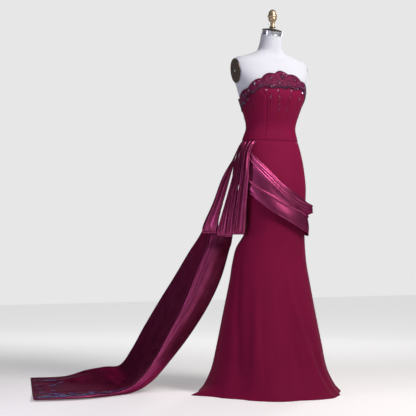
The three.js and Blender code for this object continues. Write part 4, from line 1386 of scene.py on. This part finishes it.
# %% Neck cap and finial
neck = NECK[-1]
neck_top = (Matrix.Translation((0, neck["cy"], neck["z"]))
            @ Matrix.Rotation(math.radians(neck["lean"]), 4, "X"))
band_foot = SEAM_GAP
band_top = band_foot + 19
cap_foot = band_top + SEAM_GAP
BAND_RADIUS = 43.5
BAND_WAIST = BAND_RADIUS - 0.8
turned("neck_band", "form_neck_band", [
    (0, band_foot), (BAND_RADIUS, band_foot), (BAND_RADIUS, band_foot + 3), (BAND_WAIST, band_foot + 4),
    (BAND_WAIST, band_top - 4), (BAND_RADIUS, band_top - 3), (BAND_RADIUS, band_top), (0, band_top),
], neck_top, chrome, 96)
turned("neck_cap", "form_neck_cap", [
    (0, cap_foot), (BAND_RADIUS - 1, cap_foot), (BAND_RADIUS - 1, cap_foot + 2), (38, cap_foot + 3.4),
    (30, cap_foot + 5), (22, cap_foot + 6.5), (15.5, cap_foot + 7.5), (0, cap_foot + 7.5),
], neck_top, lacquer, 96)
finial_foot = Matrix.Translation((0, neck["cy"] - 8, 1515))
FINIAL = [
    (0, 0), (13.5, 0), (13.5, 4), (12.4, 5.6), (10.6, 7), (9.6, 9), (9.2, 14), (9.4, 20), (10.6, 23.6),
    (12.5, 26), (15.6, 28.4), (17, 31), (17.4, 36), (17.6, 41), (19.2, 42.6), (20.8, 44.6), (21, 47.4),
    (20.6, 50), (19, 52), (17.8, 53.5), (17.6, 58), (16.6, 62), (14.9, 66), (12.6, 69.5), (9.6, 72.6),
    (6, 75), (3, 76.5), (0, 77),
]
turned("finial", "form_finial", FINIAL, finial_foot, brass, 64)
screw_place = (Matrix.Translation((-9.6 - SEAM_GAP, neck["cy"] - 8, 1529))
               @ Matrix.Rotation(math.radians(-90), 4, "Y"))
turned("set_screw", "form_set_screw",
       [(0, 0), (1.8, 0), (1.8, 3.4), (3, 3.6), (3, 7.6), (2.6, 8), (0, 8)],
       screw_place, chrome, 24)
print("finial", FINIAL[-1][1], "mm tall")

# %% [markdown]
# ## Stand
#
# The pole is a plain tube and the base a heavy casting, thick at the socket and thin at the rim, so
# that the long train can't pull the form over. The skirt hides both, so they are kept plain.

# %% Stand
BASE_HEIGHT = 26
pole_foot = BASE_HEIGHT + SEAM_GAP
turned("stand_pole_tube", "stand_pole", [
    (0, pole_foot), (16, pole_foot), (16, FORM_FOOT - SEAM_GAP), (0, FORM_FOOT - SEAM_GAP),
], Matrix.Identity(4), iron, 48)
turned("stand_base_casting", "stand_base", [
    (0, 0), (195, 0), (195, 7), (193.5, 9), (190, 10.6), (183, 14), (120, 17), (40, 20), (32, 22),
    (29, 24.4), (28, BASE_HEIGHT), (0, BASE_HEIGHT),
], Matrix.Identity(4), iron, 96)
print("stand", FORM_FOOT, "mm to the form")

# %% [markdown]
# ## Zip
#
# The zip at the centre back is the invisible kind, so only its slider and pull tab show at the top of
# the seam. The tab hangs on its own body, because it swings when it is held.

# %% Slider and pull tab
slider_low, slider_high = (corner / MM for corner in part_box("zip_slider"))
bm = bmesh.new()
bmesh.ops.create_cube(bm, size=1)
size = slider_high - slider_low
bmesh.ops.scale(bm, vec=size, verts=bm.verts)
bmesh.ops.translate(bm, vec=(slider_low + slider_high) / 2, verts=bm.verts)
for vert in bm.verts:
    if vert.co.z < slider_low.z + 1:
        vert.co.x *= 0.62
bmesh.ops.bevel(bm, geom=bm.edges[:], offset=1.0, segments=3, profile=0.5, affect="EDGES", material=-1)
slider = to_object("zip_slider_body", bm, enamel)
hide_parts("zip_slider")

tab_low, tab_high = (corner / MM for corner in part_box("zip_pull"))
size = tab_high - tab_low
bm = bmesh.new()
bmesh.ops.create_circle(bm, cap_ends=False, segments=32, radius=size.x / 2)
for vert in bm.verts:
    vert.co.y += math.copysign(size.z / 2 - size.x / 2, vert.co.y) if abs(vert.co.y) > 1e-4 else 0
bmesh.ops.create_circle(bm, cap_ends=False, segments=32, radius=size.x / 4.2)
bmesh.ops.translate(bm, vec=(0, size.z / 2 - size.x / 2, 0), verts=bm.verts[32:])
bmesh.ops.triangle_fill(bm, edges=bm.edges[:], use_beauty=True, use_dissolve=False)
sheet = bmesh.ops.extrude_face_region(bm, geom=bm.faces[:])["geom"]
bmesh.ops.translate(
    bm, vec=(0, 0, size.y), verts=[item for item in sheet if isinstance(item, bmesh.types.BMVert)]
)
bmesh.ops.recalc_face_normals(bm, faces=bm.faces)
upright = Matrix.Rotation(math.radians(90), 4, "X")
middle = (tab_low + tab_high) / 2
bmesh.ops.transform(
    bm, matrix=Matrix.Translation((middle.x, tab_high.y, middle.z)) @ upright, verts=bm.verts
)
tab = to_object("zip_pull_tab", bm, enamel, body="zip_pull")
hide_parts("zip_pull")
print("pull tab", [round(c, 1) for c in size], "mm")
